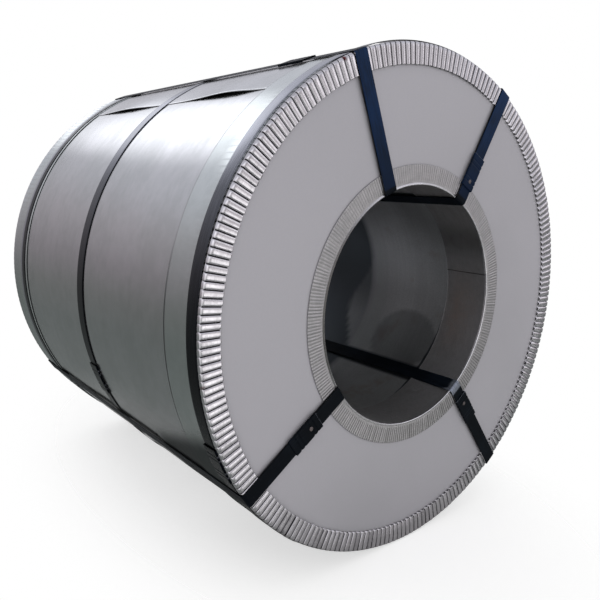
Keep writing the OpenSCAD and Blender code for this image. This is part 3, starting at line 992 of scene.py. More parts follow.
@dataclass
class OuterGuard:
    """Pleated ring round the coil's outer edge, bent over into a plain leg along its outside."""

    end: End
    span: RingSpan
    sheet_t: float = 1.0 * MM
    pleats: int = 236
    overlap: int = 3
    seam: float = math.radians(-143.7)
    floor_depth: float = 502.6 * MM
    crest_depth: float = 506.95 * MM
    tip_out: float = 0.6 * MM
    tip_in: float = 4.6 * MM
    tip_foot: float = 499.4 * MM
    marks: tuple[tuple[float, float, float], ...] = ()
    seed: int = 3

    SECTION = ((0.0, 0.0), (0.045, 0.02), (0.07, 0.48), (0.095, 0.80), (0.14, 0.905), (0.30, 0.972),
               (0.50, 1.0))
    FLAT_ROWS = (0.0, 0.9 * MM, 4.0 * MM, 33.0 * MM)
    TIP_TURNS = (0.0, 20.0, 40.0, 60.0, 76.0, 90.0)
    TIP_FLOOR_MM = ((-4.6, 0.0), (-2.8, 0.0), (-1.6, 0.0), (-0.9, -0.15), (-0.35, -0.5), (0.0, -1.2))
    LEG_ROWS = (499.0 * MM, 498.2 * MM)
    LEG_END_ROWS = (40.0 * MM, 2.0 * MM, 0.0)
    PLAIN_ROWS = 4
    SHARP = 75.0
    HEIGHT_LOSS, LEAST_HEIGHT, TILT, SHIFT, RAGGED = 0.10, 0.8, 0.05, 0.035, 0.5 * MM
    RIDE_LEAD, RIDE_W, RIDE_SHEETS = 0.6, 1.2, 1.15
    FILL, FILL_BY, FILL_ZONE = 0.85, 0.35, (-122.0, 6.0, -74.0, 6.0)
    FLUTE, FLUTE_ZONE = 0.4, (-24.0, 14.0, 44.0, 16.0)
    # Painted shade on the pleats' sides at the top.
    FLUTE_DIRT, FLUTE_SIDE, FLUTE_END = 0.5, (0.3, 0.55), 0.7
    MOUTH_RIGHT, MOUTH_LEFT, MOUTH_SIDE, MOUTH_ROWS = (18.0, 16.0), (142.0, 12.0), (0.35, 0.3), 2
    # Painted shade in the grooves and low down, fainter on the right.
    CLEAN_RISE, DIRT_TIP, LOW_DIRT, LOW_BELOW = 0.85, (0.62, 0.36), 0.35, (115.0, 25.0)
    FAINT, FAINT_ZONE = 0.6, (38.0, 14.0, 176.0, 14.0)
    MARK_SOFT = 1.6

    def section(self) -> tuple[Array, Array]:
        """Section across one pleat, from the middle of a groove to the middle of the next.

        Returns:
            Places across the pitch, of 0 to 1, and heights of 0 to 1: a narrow groove with steep
            sides, rounded shoulders and a slightly crowned top.
        """
        fall = [(1.0 - place, height) for place, height in self.SECTION[-2:0:-1]]
        return np.array(list(self.SECTION) + fall).T

    def meridians(self) -> tuple[Array, Array, Array]:
        """Paths of the groove floor and of the pleats' crest, from the inner edge to the leg's end.

        Returns:
            Floor and crest as rows of radius and depth, and the rows' nearness to the tip of 0 to 1.
            Both are flat at first. The floor turns into the leg by a tight corner, and the crest by a
            quarter ellipse that ends a little outside the leg and then runs into it.
        """
        r_out = self.span.r_out
        leg_end = min(abs(self.span.y_low), abs(self.span.y_high))
        flat = self.span.r_in + np.array(self.FLAT_ROWS)
        turn = np.radians(self.TIP_TURNS)
        tip = np.stack([r_out - self.tip_in + (self.tip_in + self.tip_out) * np.sin(turn),
                        self.tip_foot + (self.crest_depth - self.tip_foot) * np.cos(turn)], axis=1)
        corner = np.array(self.TIP_FLOOR_MM) * MM + [r_out, self.floor_depth]
        leg = np.concatenate([self.LEG_ROWS, leg_end + np.array(self.LEG_END_ROWS)])
        leg = np.stack([np.full_like(leg, r_out), leg], axis=1)
        floor = np.vstack([np.stack([flat, np.full_like(flat, self.floor_depth)], axis=1), corner, leg])
        crest = np.vstack([np.stack([flat, np.full_like(flat, self.crest_depth)], axis=1), tip, leg])
        crest[len(flat) + len(tip), 0] += self.tip_out / 2.0
        near = np.concatenate([np.zeros(len(flat)), np.linspace(0.0, 1.0, len(tip)), np.ones(len(leg))])
        return floor, crest, near

    def mouths(self, bearing: Array) -> Array:
        """How far the pleats' inner ends narrow to open mouths: fully low down and on the right."""
        return np.where(bearing > 0.0, rising(bearing, *self.MOUTH_RIGHT), rising(-bearing, *self.MOUTH_LEFT))

    def rises(self, level: Array, aside: Array, bearing: Array, near: Array) -> Array:
        """Heights of the guard between groove floor and crest.

        Args:
            level: Heights of the plain pleats at the columns.
            aside: Distances from the pleats' middles, of 0 to 1.
            bearing: Angles of the columns in degrees.
            near: Nearness of the rows to the tip.

        Returns:
            Heights of 0 to 1. Towards the tip a pleat's sides fall away with the fourth power of the
            distance from its middle, and on the left the grooves run out before the tip. Low down and on
            the right a pleat narrows at its inner end, and at the top its sides fall by the square.
        """
        near = near[:, None]
        fill = self.FILL * zone(bearing, *self.FILL_ZONE) * rising(near, 0.0, self.FILL_BY)
        flute = self.FLUTE * zone(bearing, *self.FLUTE_ZONE) * aside ** 2
        inner = (np.arange(len(near)) < self.MOUTH_ROWS)[:, None]
        mouth = self.mouths(bearing) * rising(aside, *self.MOUTH_SIDE) * inner
        return (level + (1.0 - level) * fill) * (1.0 - flute) * (1.0 - near * aside ** 4) * (1.0 - mouth)

    def dirt(self, rise: Array, aside: Array, bearing: Array, near: Array, radius: Array) -> Array:
        """How dark the pleated flange is painted, as painted shade.

        Args:
            rise: Heights between groove floor and crest.
            aside: Distances from the pleats' middles, of 0 to 1.
            bearing: Angles of the columns in degrees.
            near: Nearness of the rows to the tip.
            radius: Distances of the points from the axis.

        Returns:
            Values of 0 to 1 of painted shade: dark grooves that fade at the tip, wider at the top and fainter
            on the right, unshaded inner ends where the mouths show, and an even darkening low down.
        """
        near = near[:, None]
        groove = (1.0 - np.clip(rise / self.CLEAN_RISE, 0.0, 1.0)) * (1.0 - rising(near, *self.DIRT_TIP))
        flute = self.FLUTE_DIRT * zone(bearing, *self.FLUTE_ZONE) * rising(aside, *self.FLUTE_SIDE)
        groove = np.maximum(groove, flute * (near < self.FLUTE_END))
        low = rising(np.abs(bearing), *self.LOW_BELOW)
        first, last = self.FLAT_ROWS[1:3]
        inner_end = 1.0 - rising(radius, self.span.r_in + first, last - first)
        groove = groove * (1.0 - np.maximum(low, self.mouths(bearing)) * inner_end)
        groove = groove * (1.0 - self.FAINT * zone(bearing, *self.FAINT_ZONE))
        return np.clip(groove + self.LOW_DIRT * low * (near < 1.0), 0.0, 1.0)

    def build(self) -> None:
        """Builds the guard over path and angle: floor plus height times crest less floor.

        Each pleat has its own height, tilt, width and inner end. Past one turn the strip rides up over
        its own start by a sheet's thickness.
        """
        draw = np.random.default_rng(self.seed + self.end.value)
        place, height = self.section()
        number = self.pleats + self.overlap
        tall = 1.0 - self.HEIGHT_LOSS * np.abs(draw.normal(size=self.pleats))
        tall = np.clip(tall, self.LEAST_HEIGHT, 1.0)
        tilt = draw.normal(scale=self.TILT, size=self.pleats)
        shift = draw.normal(scale=self.SHIFT, size=self.pleats)
        ragged = draw.normal(scale=self.RAGGED, size=self.pleats)
        which = np.repeat(np.arange(number) % self.pleats, len(place))
        across = np.tile(place, number)
        aside = np.abs(2.0 * across - 1.0)
        column = np.repeat(np.arange(number), len(place)) + across
        lean = shift[which] * np.sin(np.pi * across) ** 2
        angle = self.seam + (column + lean) / self.pleats * TURN
        bearing = turned(angle)
        level = np.tile(height, number) * np.clip(tall[which] + tilt[which] * (2.0 * across - 1.0), 0.0, 1.0)
        floor, crest, near = self.meridians()
        rise = self.rises(level, aside, bearing, near)
        points = floor[:, None, :] + rise[:, :, None] * (crest - floor)[:, None, :]
        points[0, :, 0] += ragged[which] * np.sin(np.pi * across)
        riding = rising(column, self.pleats - self.RIDE_LEAD, self.RIDE_W) * self.RIDE_SHEETS * self.sheet_t
        points[:, :, 1] += riding * (near < 1.0)[:, None]
        points[:, :, 0] += riding * (near == 1.0)[:, None]
        radius, y = points[:, :, 0], self.end.value * points[:, :, 1]
        leg = np.arange(len(floor)) >= len(floor) - self.PLAIN_ROWS
        cavity = self.dirt(rise, aside, bearing, near, radius)
        cavity = np.maximum(cavity, leg[:, None] * FootGrime().over(angle, y))
        stain = np.zeros_like(rise)
        for mark_angle, mark_r, size in self.marks:
            swing = np.radians(turned(angle - math.radians(mark_angle)))
            away = np.hypot(radius - mark_r, swing * mark_r)
            stain = np.maximum(stain, smooth(self.MARK_SOFT - away / size))
        length = np.concatenate([[0.0], np.cumsum(np.hypot(*np.diff(floor, axis=0).T))])
        piece = PieceMesh(f"rim_guard_{self.end.word}")
        piece.grid(polar(radius, angle[None, :], y), (length, angle * self.span.r_out),
                   flip=self.end is End.FRONT, slot=leg[:-1].astype(int), cavity=cavity, bare=stain)
        piece.build([GuardFinish(), GUARD_LEG, GUARD_UNDERSIDE], "edge_guard",
                    [f"outer_guard_{self.end.word}"], thickness=self.sheet_t, inside=2, sharp=self.SHARP)


@dataclass
class InnerGuard:
    """Finely pleated ring round the eye with a rolled lip and a plain leg inside the eye."""

    end: End
    span: RingSpan
    leg_r: float = 252.7 * MM
    sheet_t: float = 0.9 * MM
    pleats: int = 280
    overlap: int = 9
    seam: float = math.radians(68.6)
    floor_depth: float = 503.2 * MM
    pleat_h: float = 0.95 * MM
    bead: float = 1.8 * MM
    bead_depth: float = 503.4 * MM
    lift: float = 3.4 * MM
    seed: int = 21

    SECTION = ((0.0, 0.0), (0.15, 0.22), (0.32, 0.88), (0.5, 1.0), (0.68, 0.88), (0.85, 0.22))
    EDGE_STEP = 0.8 * MM
    FLANGE_ROWS_MM = ((276.0, 1.0), (264.0, 0.95), (260.5, 0.8), (258.0, 0.45), (256.2, 0.12), (254.8, 0.0))
    BEAD_TURNS = (60.0, 105.0, 155.0, 205.0, 255.0)
    LEG_ROWS = (499.0 * MM, 496.5 * MM)
    LEG_END_ROWS = (30.0 * MM, 1.5 * MM, 0.0)
    LEG_BELOW = 500.0 * MM
    SHARP = 75.0
    HEIGHT, HEIGHT_SPREAD, LEAST_HEIGHT, SHIFT = 0.78, 0.17, 0.3, 0.09
    RIDE_LEAD, RIDE_W, RIDE_SHEETS = 2.0, 3.0, 1.1
    LIFT_AT, LIFT_HALF, LIFT_BELOW, LEG_SLACK = 150.0, 60.0, (470.0 * MM, 75.0 * MM), 0.1 * MM
    # Painted shade in the grooves and low down, a shaded lip, a painted shadow line at the lap's end and a
    # darker patch on the leg.
    CLEAN_RISE, DIRT_FROM = 0.7, (256.0 * MM, 4.0 * MM)
    DIRT, LOW_DIRT, LOW_BELOW = 0.46, 0.16, (95.0, 50.0)
    LIP_SHADE, LIP_AT, LIP_HALF = 0.8, -80.0, 100.0
    SEAM_AT, SEAM_HALF = 0.45, 0.5
    GRIME, GRIME_AT, GRIME_HALF, GRIME_END = 0.5, 62.0, 26.0, 80.2
    BROWN, BROWN_AT, BROWN_HALF, BROWN_DEPTH = 0.8, 103.0, 34.0, (444.0 * MM, 60.0 * MM)

    def meridian(self) -> tuple[Array, Array, Array]:
        """Radius, depth and share of the pleats' height along the path from the flange's edge.

        Returns:
            Radii, depths and shares: a flat flange, a bead rolled inwards and a straight leg.
        """
        leg_end = min(abs(self.span.y_low), abs(self.span.y_high))
        middle = self.span.r_in + self.bead
        inward, fading = np.array(self.FLANGE_ROWS_MM).T
        flange = np.concatenate([[self.span.r_out, self.span.r_out - self.EDGE_STEP], inward * MM])
        bend = np.radians(self.BEAD_TURNS)
        leg = np.concatenate([self.LEG_ROWS, leg_end + np.array(self.LEG_END_ROWS)])
        radius = np.concatenate([flange, middle + self.bead * np.cos(bend), np.full(len(leg), self.leg_r)])
        depth = np.concatenate([np.full(len(flange), self.floor_depth),
                                self.bead_depth + self.bead * np.sin(bend), leg])
        return radius, depth, np.concatenate([[1.0, 1.0], fading, np.zeros(len(bend) + len(leg))])

    def dirt(self, rise: Array, angle: Array, radius: Array, leg: Array, lip: Array) -> Array:
        """How dark the guard is painted.

        Args:
            rise: Heights of the pleats.
            angle: Angles of the columns.
            radius: Distances of the rows from the axis.
            leg: Which rows are the leg.
            lip: Which rows are the rolled lip.

        Returns:
            Values of 0 to 1: grooves of painted shade that are darker low down, a shaded lip on the left, a
            painted shadow line at the end of the lap and a darker patch on the leg's right.
        """
        bearing = turned(angle)
        groove = (1.0 - np.clip(rise / self.CLEAN_RISE, 0.0, 1.0)) * rising(radius[:, None], *self.DIRT_FROM)
        groove = groove * (self.DIRT + self.LOW_DIRT * rising(np.abs(bearing), *self.LOW_BELOW))
        around = turned(angle - math.radians(self.LIP_AT))
        shaded = self.LIP_SHADE * hump(around, 0.0, self.LIP_HALF) * lip[:, None]
        past = np.degrees(angle - self.seam - self.overlap / self.pleats * TURN)
        grime = self.GRIME * hump(bearing, self.GRIME_AT, self.GRIME_HALF) * (bearing < self.GRIME_END)
        on_leg = np.maximum(hump(past, self.SEAM_AT, self.SEAM_HALF), grime) * leg[:, None]
        return np.maximum(np.maximum(groove, shaded), on_leg)

    def build(self) -> None:
        """Builds the guard over path and angle.

        Heights are low rounded pleats of uneven size and place. The leg's free edge stands off the
        bore over part of the turn, and past one turn the strip rides up over its own start.
        """
        draw = np.random.default_rng(self.seed + self.end.value)
        place, height = np.array(self.SECTION).T
        number = self.pleats + self.overlap
        tall = np.clip(draw.normal(self.HEIGHT, self.HEIGHT_SPREAD, self.pleats), self.LEAST_HEIGHT, 1.0)
        shift = draw.normal(scale=self.SHIFT, size=self.pleats)
        which = np.repeat(np.arange(number) % self.pleats, len(place))
        across = np.tile(place, number)
        column = np.repeat(np.arange(number), len(place)) + across
        lean = shift[which] * np.sin(np.pi * across) ** 2
        angle = self.seam + (column + lean) / self.pleats * TURN
        radius, depth, share = self.meridian()
        rise = share[:, None] * (np.tile(height, number) * tall[which])[None, :]
        leg = depth < self.LEG_BELOW
        lip = (share == 0.0) & (depth > self.LEG_BELOW)
        riding = rising(column, self.pleats - self.RIDE_LEAD, self.RIDE_W) * self.RIDE_SHEETS * self.sheet_t
        loose = self.lift * hump(turned(angle - math.radians(self.LIFT_AT)), 0.0, self.LIFT_HALF)
        leg_share = falling(depth, *self.LIFT_BELOW) * (radius > self.leg_r - self.LEG_SLACK) * leg
        reach = radius[:, None] - riding * (share == 0.0)[:, None] - loose * leg_share[:, None]
        out = depth[:, None] + rise * self.pleat_h + riding * (share > 0.0)[:, None]
        brown = self.BROWN * hump(turned(angle), self.BROWN_AT, self.BROWN_HALF)
        brown = brown * (leg * hump(depth, *self.BROWN_DEPTH))[:, None]
        length = np.concatenate([[0.0], np.cumsum(np.hypot(np.diff(radius), np.diff(depth)))])
        piece = PieceMesh(f"eye_guard_{self.end.word}")
        piece.grid(polar(reach, angle[None, :], self.end.value * out), (length, angle * self.span.r_out),
                   flip=self.end is End.BACK, slot=lip[:-1].astype(int),
                   cavity=self.dirt(rise, angle, radius, leg, lip), bare=brown)
        piece.build([EYE_GUARD, ROLLED_LIP], "edge_guard", [f"inner_guard_{self.end.word}"],
                    thickness=self.sheet_t, sharp=self.SHARP)


STRAP_EDGE_STEPS, STRAP_FACE_STEPS = 7, 9
STRAP_EDGE_W, STRAP_EDGE_RISE = 1.0 * MM, 1.2 * MM


def strap_section(width: float, thick: float) -> tuple[Array, Array, Array]:
    """Section of a flat strap: outer face from left to right, round edge, inner face back, round edge.

    Args:
        width: Width across the strap.
        thick: Thickness, which is also the diameter of the round edges.

    Returns:
        Places across, heights above the inner face, and nearness to an edge of 0 to 1.
    """
    half = (width - thick) / 2.0
    bend = np.linspace(0.0, math.pi, STRAP_EDGE_STEPS)
    face = np.linspace(-half, half, STRAP_FACE_STEPS)[1:-1]
    across = np.concatenate([face, half + thick / 2.0 * np.sin(bend), face[::-1],
                             -half - thick / 2.0 * np.sin(bend)])
    up = np.concatenate([np.full(len(face), thick), thick / 2.0 * (1.0 + np.cos(bend)), np.zeros(len(face)),
                         thick / 2.0 * (1.0 - np.cos(bend))])
    edge = rising(np.abs(across), half - STRAP_EDGE_W, STRAP_EDGE_RISE)
    return across, up, edge


@dataclass
class HoopStrap:
    """A strap round the coil's outside."""

    name: str
    node: str
    span: RingSpan
    sway: float
    crossed: tuple[float, ...]
    lift: float
    rubbed: float
    rubbed_side: float
    crown: float = 0.45 * MM
    columns: int = 300

    # Painted reflection: how far the hoop is lightened at each angle round it.
    SHEEN = ((-97.0, 0.0), (-83.0, 0.06), (-71.0, 0.16), (-61.0, 0.28), (-56.0, 0.52), (-50.0, 0.72),
             (-43.0, 0.62), (-35.0, 1.0), (-27.0, 0.8), (-18.0, 0.0))
    SWAYS = ((2.0, 0.7, 1.0), (3.0, 2.1, 0.5))
    SLACK_EASE, CROSSING_HALF, CROWN_SLACK = 0.4, 9.0, 1.0 * MM
    SIDE_FROM, SIDE_RISE, EDGE_BARE = 3.0 * MM, 3.0 * MM, 0.03

    def slack(self, angle: Array) -> Array:
        """How far the hoop stands off over its upper half: nothing where a strap crosses it.

        Args:
            angle: Angles round the hoop.

        Returns:
            The lift: its full value, eased off below the upper half and by a bell at each crossing.
        """
        free = smooth(np.cos(angle) / self.SLACK_EASE)
        for crossing in self.crossed:
            free = free * (1.0 - hump(turned(angle - crossing), 0.0, self.CROSSING_HALF))
        return self.lift * free

    def build(self) -> None:
        """Builds the hoop: a strap's section carried round the axis.

        It sways along the axis by two sines of the angle. Where it stands off, its face is crowned by
        the square of the distance from its middle. A painted reflection lightens it on the upper left.
        """
        thick = self.span.r_out - self.span.r_in
        across, up, edge = strap_section(self.span.y_high - self.span.y_low, thick)
        angle = np.linspace(0.0, TURN, self.columns, endpoint=False)[:, None]
        middle = (self.span.y_low + self.span.y_high) / 2.0
        sway = self.sway * sum(part * np.sin(times * angle + start) for times, start, part in self.SWAYS)
        slack = self.slack(angle)
        crown = self.crown * (1.0 - (across / np.abs(across).max()) ** 2)
        crown = crown * np.minimum(slack / self.CROWN_SLACK, 1.0)
        points = polar(self.span.r_in + up + slack + crown, angle, middle + sway + across)
        sheen = self.rubbed * np.interp(turned(angle), *np.array(self.SHEEN).T)
        side = self.rubbed_side * rising(across, self.SIDE_FROM, self.SIDE_RISE)
        around = np.linspace(0.0, TURN, self.columns + 1) * self.span.r_out
        piece = PieceMesh(self.name)
        piece.grid(points, (around, np.append(across, across[0])), close_rows=True, close_cols=True,
                   bare=np.maximum(np.maximum(sheen, side), self.EDGE_BARE * edge))
        piece.build([HoopFinish()], "strap", [self.node])

    def spot(self, angle: float) -> Place:
        """Mapping from along, across and up at an angle of the hoop to points.

        Args:
            angle: Angle of the place's middle.

        Returns:
            The mapping, with along measured clockwise round the hoop.
        """
        middle = (self.span.y_low + self.span.y_high) / 2.0

        def mapped(along: Array, across: Array, up: Array) -> Array:
            """Points at along, across and up."""
            return polar(self.span.r_in + up, angle + along / self.span.r_in, middle + across)
        return mapped


@dataclass
class EyeStrap:
    """A strap looped through the eye, over both ends and along the outside, at one angle."""

    name: str
    node: str
    angle: float
    in_r: float
    out_r: float
    depth: float
    worn: float
    width: float = 32.0 * MM
    thick: float = 1.0 * MM
    bend: float = 5.0 * MM
    steps: int = 34
    bend_steps: int = 8

    EYE_GRIME, OUTSIDE_GRIME = (12.0 * MM, 8.0 * MM), (2.0 * MM, 2.0 * MM)
    LIP_RUB, FRONT_SLACK, EDGE_BARE = (25.0 * MM, 10.0 * MM), 1.0 * MM, 0.55

    def frame_points(self, radius: Array, y: Array, across: Array) -> Array:
        """Points in the strap's plane: radius along its angle, and across against the clockwise turn."""
        out = np.array([math.sin(self.angle), 0.0, math.cos(self.angle)])
        side = np.array([-math.cos(self.angle), 0.0, math.sin(self.angle)])
        radius, y, across = np.broadcast_arrays(radius, y, across)
        return (radius[..., None] * out + across[..., None] * side + y[..., None] * np.array([0.0, 1.0, 0.0])
                + np.array([0.0, 0.0, AXIS_H]))

    def path(self) -> tuple[Array, Array, Array]:
        """Inner face's path in the strap's plane: front run outwards, outside, back run inwards, eye.

        Returns:
            Radii and places along Y, and the outward direction as radius and Y: four straight runs
            joined by quarter rounds.
        """
        corners = ((self.out_r - self.bend, self.bend - self.depth, -math.pi / 2.0),
                   (self.out_r - self.bend, self.depth - self.bend, 0.0),
                   (self.in_r + self.bend, self.depth - self.bend, math.pi / 2.0),
                   (self.in_r + self.bend, self.bend - self.depth, math.pi))
        swing = np.linspace(0.0, math.pi / 2.0, self.bend_steps)
        rounds = []
        for radius, y, start in corners:
            out = np.stack([np.cos(start + swing), np.sin(start + swing)], axis=1)
            rounds.append(np.hstack([np.array([radius, y]) + self.bend * out, out]))
        share = np.linspace(0.0, 1.0, self.steps)[1:-1, None]
        parts = []
        for before, after in zip(rounds[-1:] + rounds[:-1], rounds):
            parts.append(before[-1] + (after[0] - before[-1]) * share)
            parts.append(after)
        path = np.concatenate(parts)
        return path[:, 0], path[:, 1], path[:, 2:]

    def build(self) -> None:
        """Builds the loop: a strap's section carried along its path.

        In the eye it keeps the shaded near-black paint as painted shade, and on the outside run the near
        black as well, without painted light; at the eye's lip in front it is worn to bare steel, which also
        stands as a painted highlight.
        """
        across, up, edge = strap_section(self.width, self.thick)
        radius, y, out = self.path()
        points = self.frame_points(radius[:, None] + out[:, :1] * up, y[:, None] + out[:, 1:] * up, across)
        step = np.hypot(np.diff(radius, append=radius[0]), np.diff(y, append=y[0]))
        length = np.concatenate([[0.0], np.cumsum(step)])
        # Painted shade in the eye, and no painted light along the outside run.
        (eye_reach, eye_soft), (rim_reach, rim_soft) = self.EYE_GRIME, self.OUTSIDE_GRIME
        grimy = falling(radius, self.in_r + eye_reach, eye_soft)
        grimy = grimy + rising(radius, self.out_r - rim_reach, rim_soft)
        # Paint worn to bare steel at the eye's lip, strongest on the lower right, where it is also a painted
        # highlight on the bend.
        lip_reach, lip_soft = self.LIP_RUB
        in_front = y < self.bend - self.depth + self.FRONT_SLACK
        rubbed = self.worn * falling(radius, self.in_r + lip_reach, lip_soft) * in_front
        piece = PieceMesh(self.name)
        piece.grid(points, (length, np.append(across, across[0])), close_rows=True, close_cols=True,
                   bare=np.maximum(self.EDGE_BARE * edge, rubbed[:, None]), cavity=grimy[:, None])
        piece.build([StrapFinish()], "strap", [self.node])

    def spot(self, run: Run, middle: float) -> Place:
        """Mapping from along, across and up on a run to points.

        Args:
            run: The run.
            middle: Radius of the place on the front run, or its Y on the outside run.

        Returns:
            The mapping, with up counted from the strap's inner face.
        """
        def mapped(along: Array, across: Array, up: Array) -> Array:
            """Points at along, across and up."""
            if run is Run.FRONT:
                return self.frame_points(middle + along, -self.depth - up, across)
            return self.frame_points(self.out_r + up, middle + along, across)
        return mapped


@dataclass
class StrapSeal:
    """A folded clip crimped round a strap, with or without a stud on its face."""

    name: str
    node: str
    spot: Place
    paint: Finish
    stud: Optional[float] = None
    bright_end: int = 0
    # How far the clip keeps the shaded near black instead of the painted light.
    grimy: float = 0.0
    length: float = 76.0 * MM
    half: float = 18.6 * MM
    top: float = 3.6 * MM
    foot: float = -1.3 * MM
    wall: float = 1.0 * MM
    fillet: float = 1.1 * MM
    crimp: float = 0.7 * MM
    squeeze: float = 1.1 * MM
    crimp_half: float = 2.6 * MM
    stud_r: float = 4.6 * MM
    stud_h: float = 0.9 * MM
    rows: int = 73

    CRIMPS = (-0.32, -0.19, 0.19, 0.32)
    FILLET_STEPS, FACE_STEPS, FACE_SHARE = 5, 5, 0.8
    SIDE_FROM, SIDE_BARE, BRIGHT_HALF = 0.9, 0.2, 1.6 * MM
    STUD_ROWS, STUD_COLUMNS, STUD_HOLE, STUD_SUNK = 7, 28, 0.02, 0.2 * MM

    def section(self) -> tuple[Array, Array]:
        """Section of the clip: outside from the left foot over the top to the right foot, inside back.

        Returns:
            Places across and heights above the strap's inner face, the same number outside and inside.
        """
        bend = np.linspace(0.0, math.pi / 2.0, self.FILLET_STEPS)
        corner = np.stack([self.half - self.fillet * (1.0 - np.sin(bend)),
                           self.top - self.fillet * (1.0 - np.cos(bend))], axis=1)
        right = np.vstack([corner, [self.half, self.foot]])
        left = (right * [-1.0, 1.0])[::-1]
        flat = np.linspace(-self.FACE_SHARE, self.FACE_SHARE, self.FACE_STEPS) * self.half
        face = np.stack([flat, np.full_like(flat, self.top)], axis=1)
        outside = np.vstack([left, face, right])
        inside = np.stack([np.clip(outside[:, 0], self.wall - self.half, self.half - self.wall),
                           np.minimum(outside[:, 1], self.top - self.wall)], axis=1)
        loop = np.vstack([outside, inside[::-1]])
        return loop[:, 0], loop[:, 1]

    def build(self) -> None:
        """Builds the clip: its section carried along the strap and pressed in at the crimps.

        At each crimp the outer face sinks by a cosine bell and the sides pull in by another.
        """
        across, up = self.section()
        along = np.linspace(-0.5, 0.5, self.rows)[:, None] * self.length
        press = sum(hump(along, place * self.length, self.crimp_half) for place in self.CRIMPS)
        outer = np.arange(len(across)) < len(across) // 2
        side = np.abs(across) > self.SIDE_FROM * self.half
        raised = up - press * self.crimp * outer * smooth(up / self.top)
        narrowed = across * (1.0 - press * self.squeeze / self.half * side)
        bare = abs(self.bright_end) * hump(along, self.bright_end * self.length / 2.0, self.BRIGHT_HALF)
        bare = np.clip(bare + self.SIDE_BARE * press * side, 0.0, 1.0)
        piece = PieceMesh(self.name)
        index = piece.grid(self.spot(along + 0.0 * across, narrowed, raised),
                           (along[:, 0], np.append(across, across[0])), close_cols=True, bare=bare,
                           cavity=np.full(1, self.grimy))
        piece.cap(index[0, :-1])
        piece.cap(index[-1, :-1], flip=True)
        finishes: list[Finish] = [self.paint]
        if self.stud is not None:
            self.add_stud(piece, self.stud)
            finishes.append(DotFinish())
        piece.build(finishes, "strap_seal", [self.node])

    def add_stud(self, piece: PieceMesh, middle: float) -> None:
        """Adds a stud: a low dome whose height falls with the fourth power of the distance from its middle.

        Args:
            piece: The clip's mesh.
            middle: Place of the stud along the strap.
        """
        share = np.linspace(1.0, self.STUD_HOLE, self.STUD_ROWS)[:, None]
        swing = np.linspace(0.0, TURN, self.STUD_COLUMNS, endpoint=False)[None, :]
        rise = self.top - self.STUD_SUNK + self.stud_h * (1.0 - share ** 4)
        dome = piece.grid(self.spot(middle + self.stud_r * share * np.cos(swing),
                                    self.stud_r * share * np.sin(swing), rise + 0.0 * swing),
                          close_cols=True, flip=True, slot=1)
        piece.cap(dome[0, :-1], flip=True, slot=1)
        piece.cap(dome[-1, :-1], slot=1)


@dataclass
class Strapping:
    """All straps of the coil with their seals."""

    # Per hoop: the seal's angle, the strength of its painted reflection and how far its side edge is rubbed.
    hoop_seals: tuple[tuple[str, float, float, float], ...] = (
        ("front", -115.0, 1.0, 0.0), ("middle", -112.0, 0.85, 0.0), ("back", 108.0, 0.0, 1.0))
    # Per eye strap: its angle and how far the paint is worn at the eye's lip, on the lower right also as a
    # painted highlight.
    eye_angles: tuple[tuple[str, float, float], ...] = (
        ("upper_left", -20.0, 0.3), ("upper_right", 31.5, 0.5), ("lower_left", -124.5, 0.3),
        ("lower_right", 144.0, 1.0))
    end_seals: tuple[tuple[str, float, float, int], ...] = (
        ("upper_right", 321.7 * MM, -22.5 * MM, 1), ("lower_left", 359.7 * MM, -14.0 * MM, -1),
        ("lower_right", 324.7 * MM, -15.0 * MM, -1))
    outside_seal_y: float = -330.0 * MM
    sway: float = 0.7 * MM
    slack: float = 2.3 * MM
    clearance: float = 0.3 * MM
    strap_t: float = 1.0 * MM

    @property
    def angles(self) -> tuple[float, ...]:
        """Angles of the eye straps."""
        return tuple(math.radians(angle) for _, angle, _ in self.eye_angles)

    def build(self) -> None:
        """Builds the hoops and the eye straps, and on each its seal."""
        for word, angle, rubbed, side in self.hoop_seals:
            slack = self.slack if word == "front" else 0.0
            hoop = HoopStrap(f"hoop_strap_{word}", f"hoop_{word}", RingSpan.of(f"hoop_{word}"), self.sway,
                             self.angles, slack, rubbed, side)
            hoop.build()
            StrapSeal(f"hoop_clip_{word}", f"seal_hoop_{word}", hoop.spot(math.radians(angle)), HoopFinish(),
                      foot=0.0).build()
        outer = RingSpan.of("hoop_front").r_out + self.clearance
        straps: dict[str, EyeStrap] = {}
        for word, angle, worn in self.eye_angles:
            span = RingSpan.of(f"eye_strap_{word}")
            strap = EyeStrap(f"eye_band_{word}", f"eye_strap_{word}", math.radians(angle),
                             span.r_in + self.strap_t, outer, span.y_high - self.strap_t, worn)
            strap.build()
            straps[word] = strap
        spot = straps["upper_left"].spot(Run.OUTSIDE, self.outside_seal_y)
        # The clip on the outside run keeps the shaded near black, without painted light.
        StrapSeal("band_clip_upper_left", "seal_upper_left", spot, StrapFinish(), grimy=1.0).build()
        for word, radius, stud, bright in self.end_seals:
            spot = straps[word].spot(Run.FRONT, radius)
            StrapSeal(f"band_clip_{word}", f"seal_{word}", spot, StrapFinish(), stud, bright).build()


@dataclass(frozen=True)
class Lobe:
    """A soft bright patch of the surround as the metal sees it.

    It is full within the inner angle of its direction and gone at the outer one, both in degrees.
    """

    way: Colour
    inner: float
    outer: float
    glow: Colour


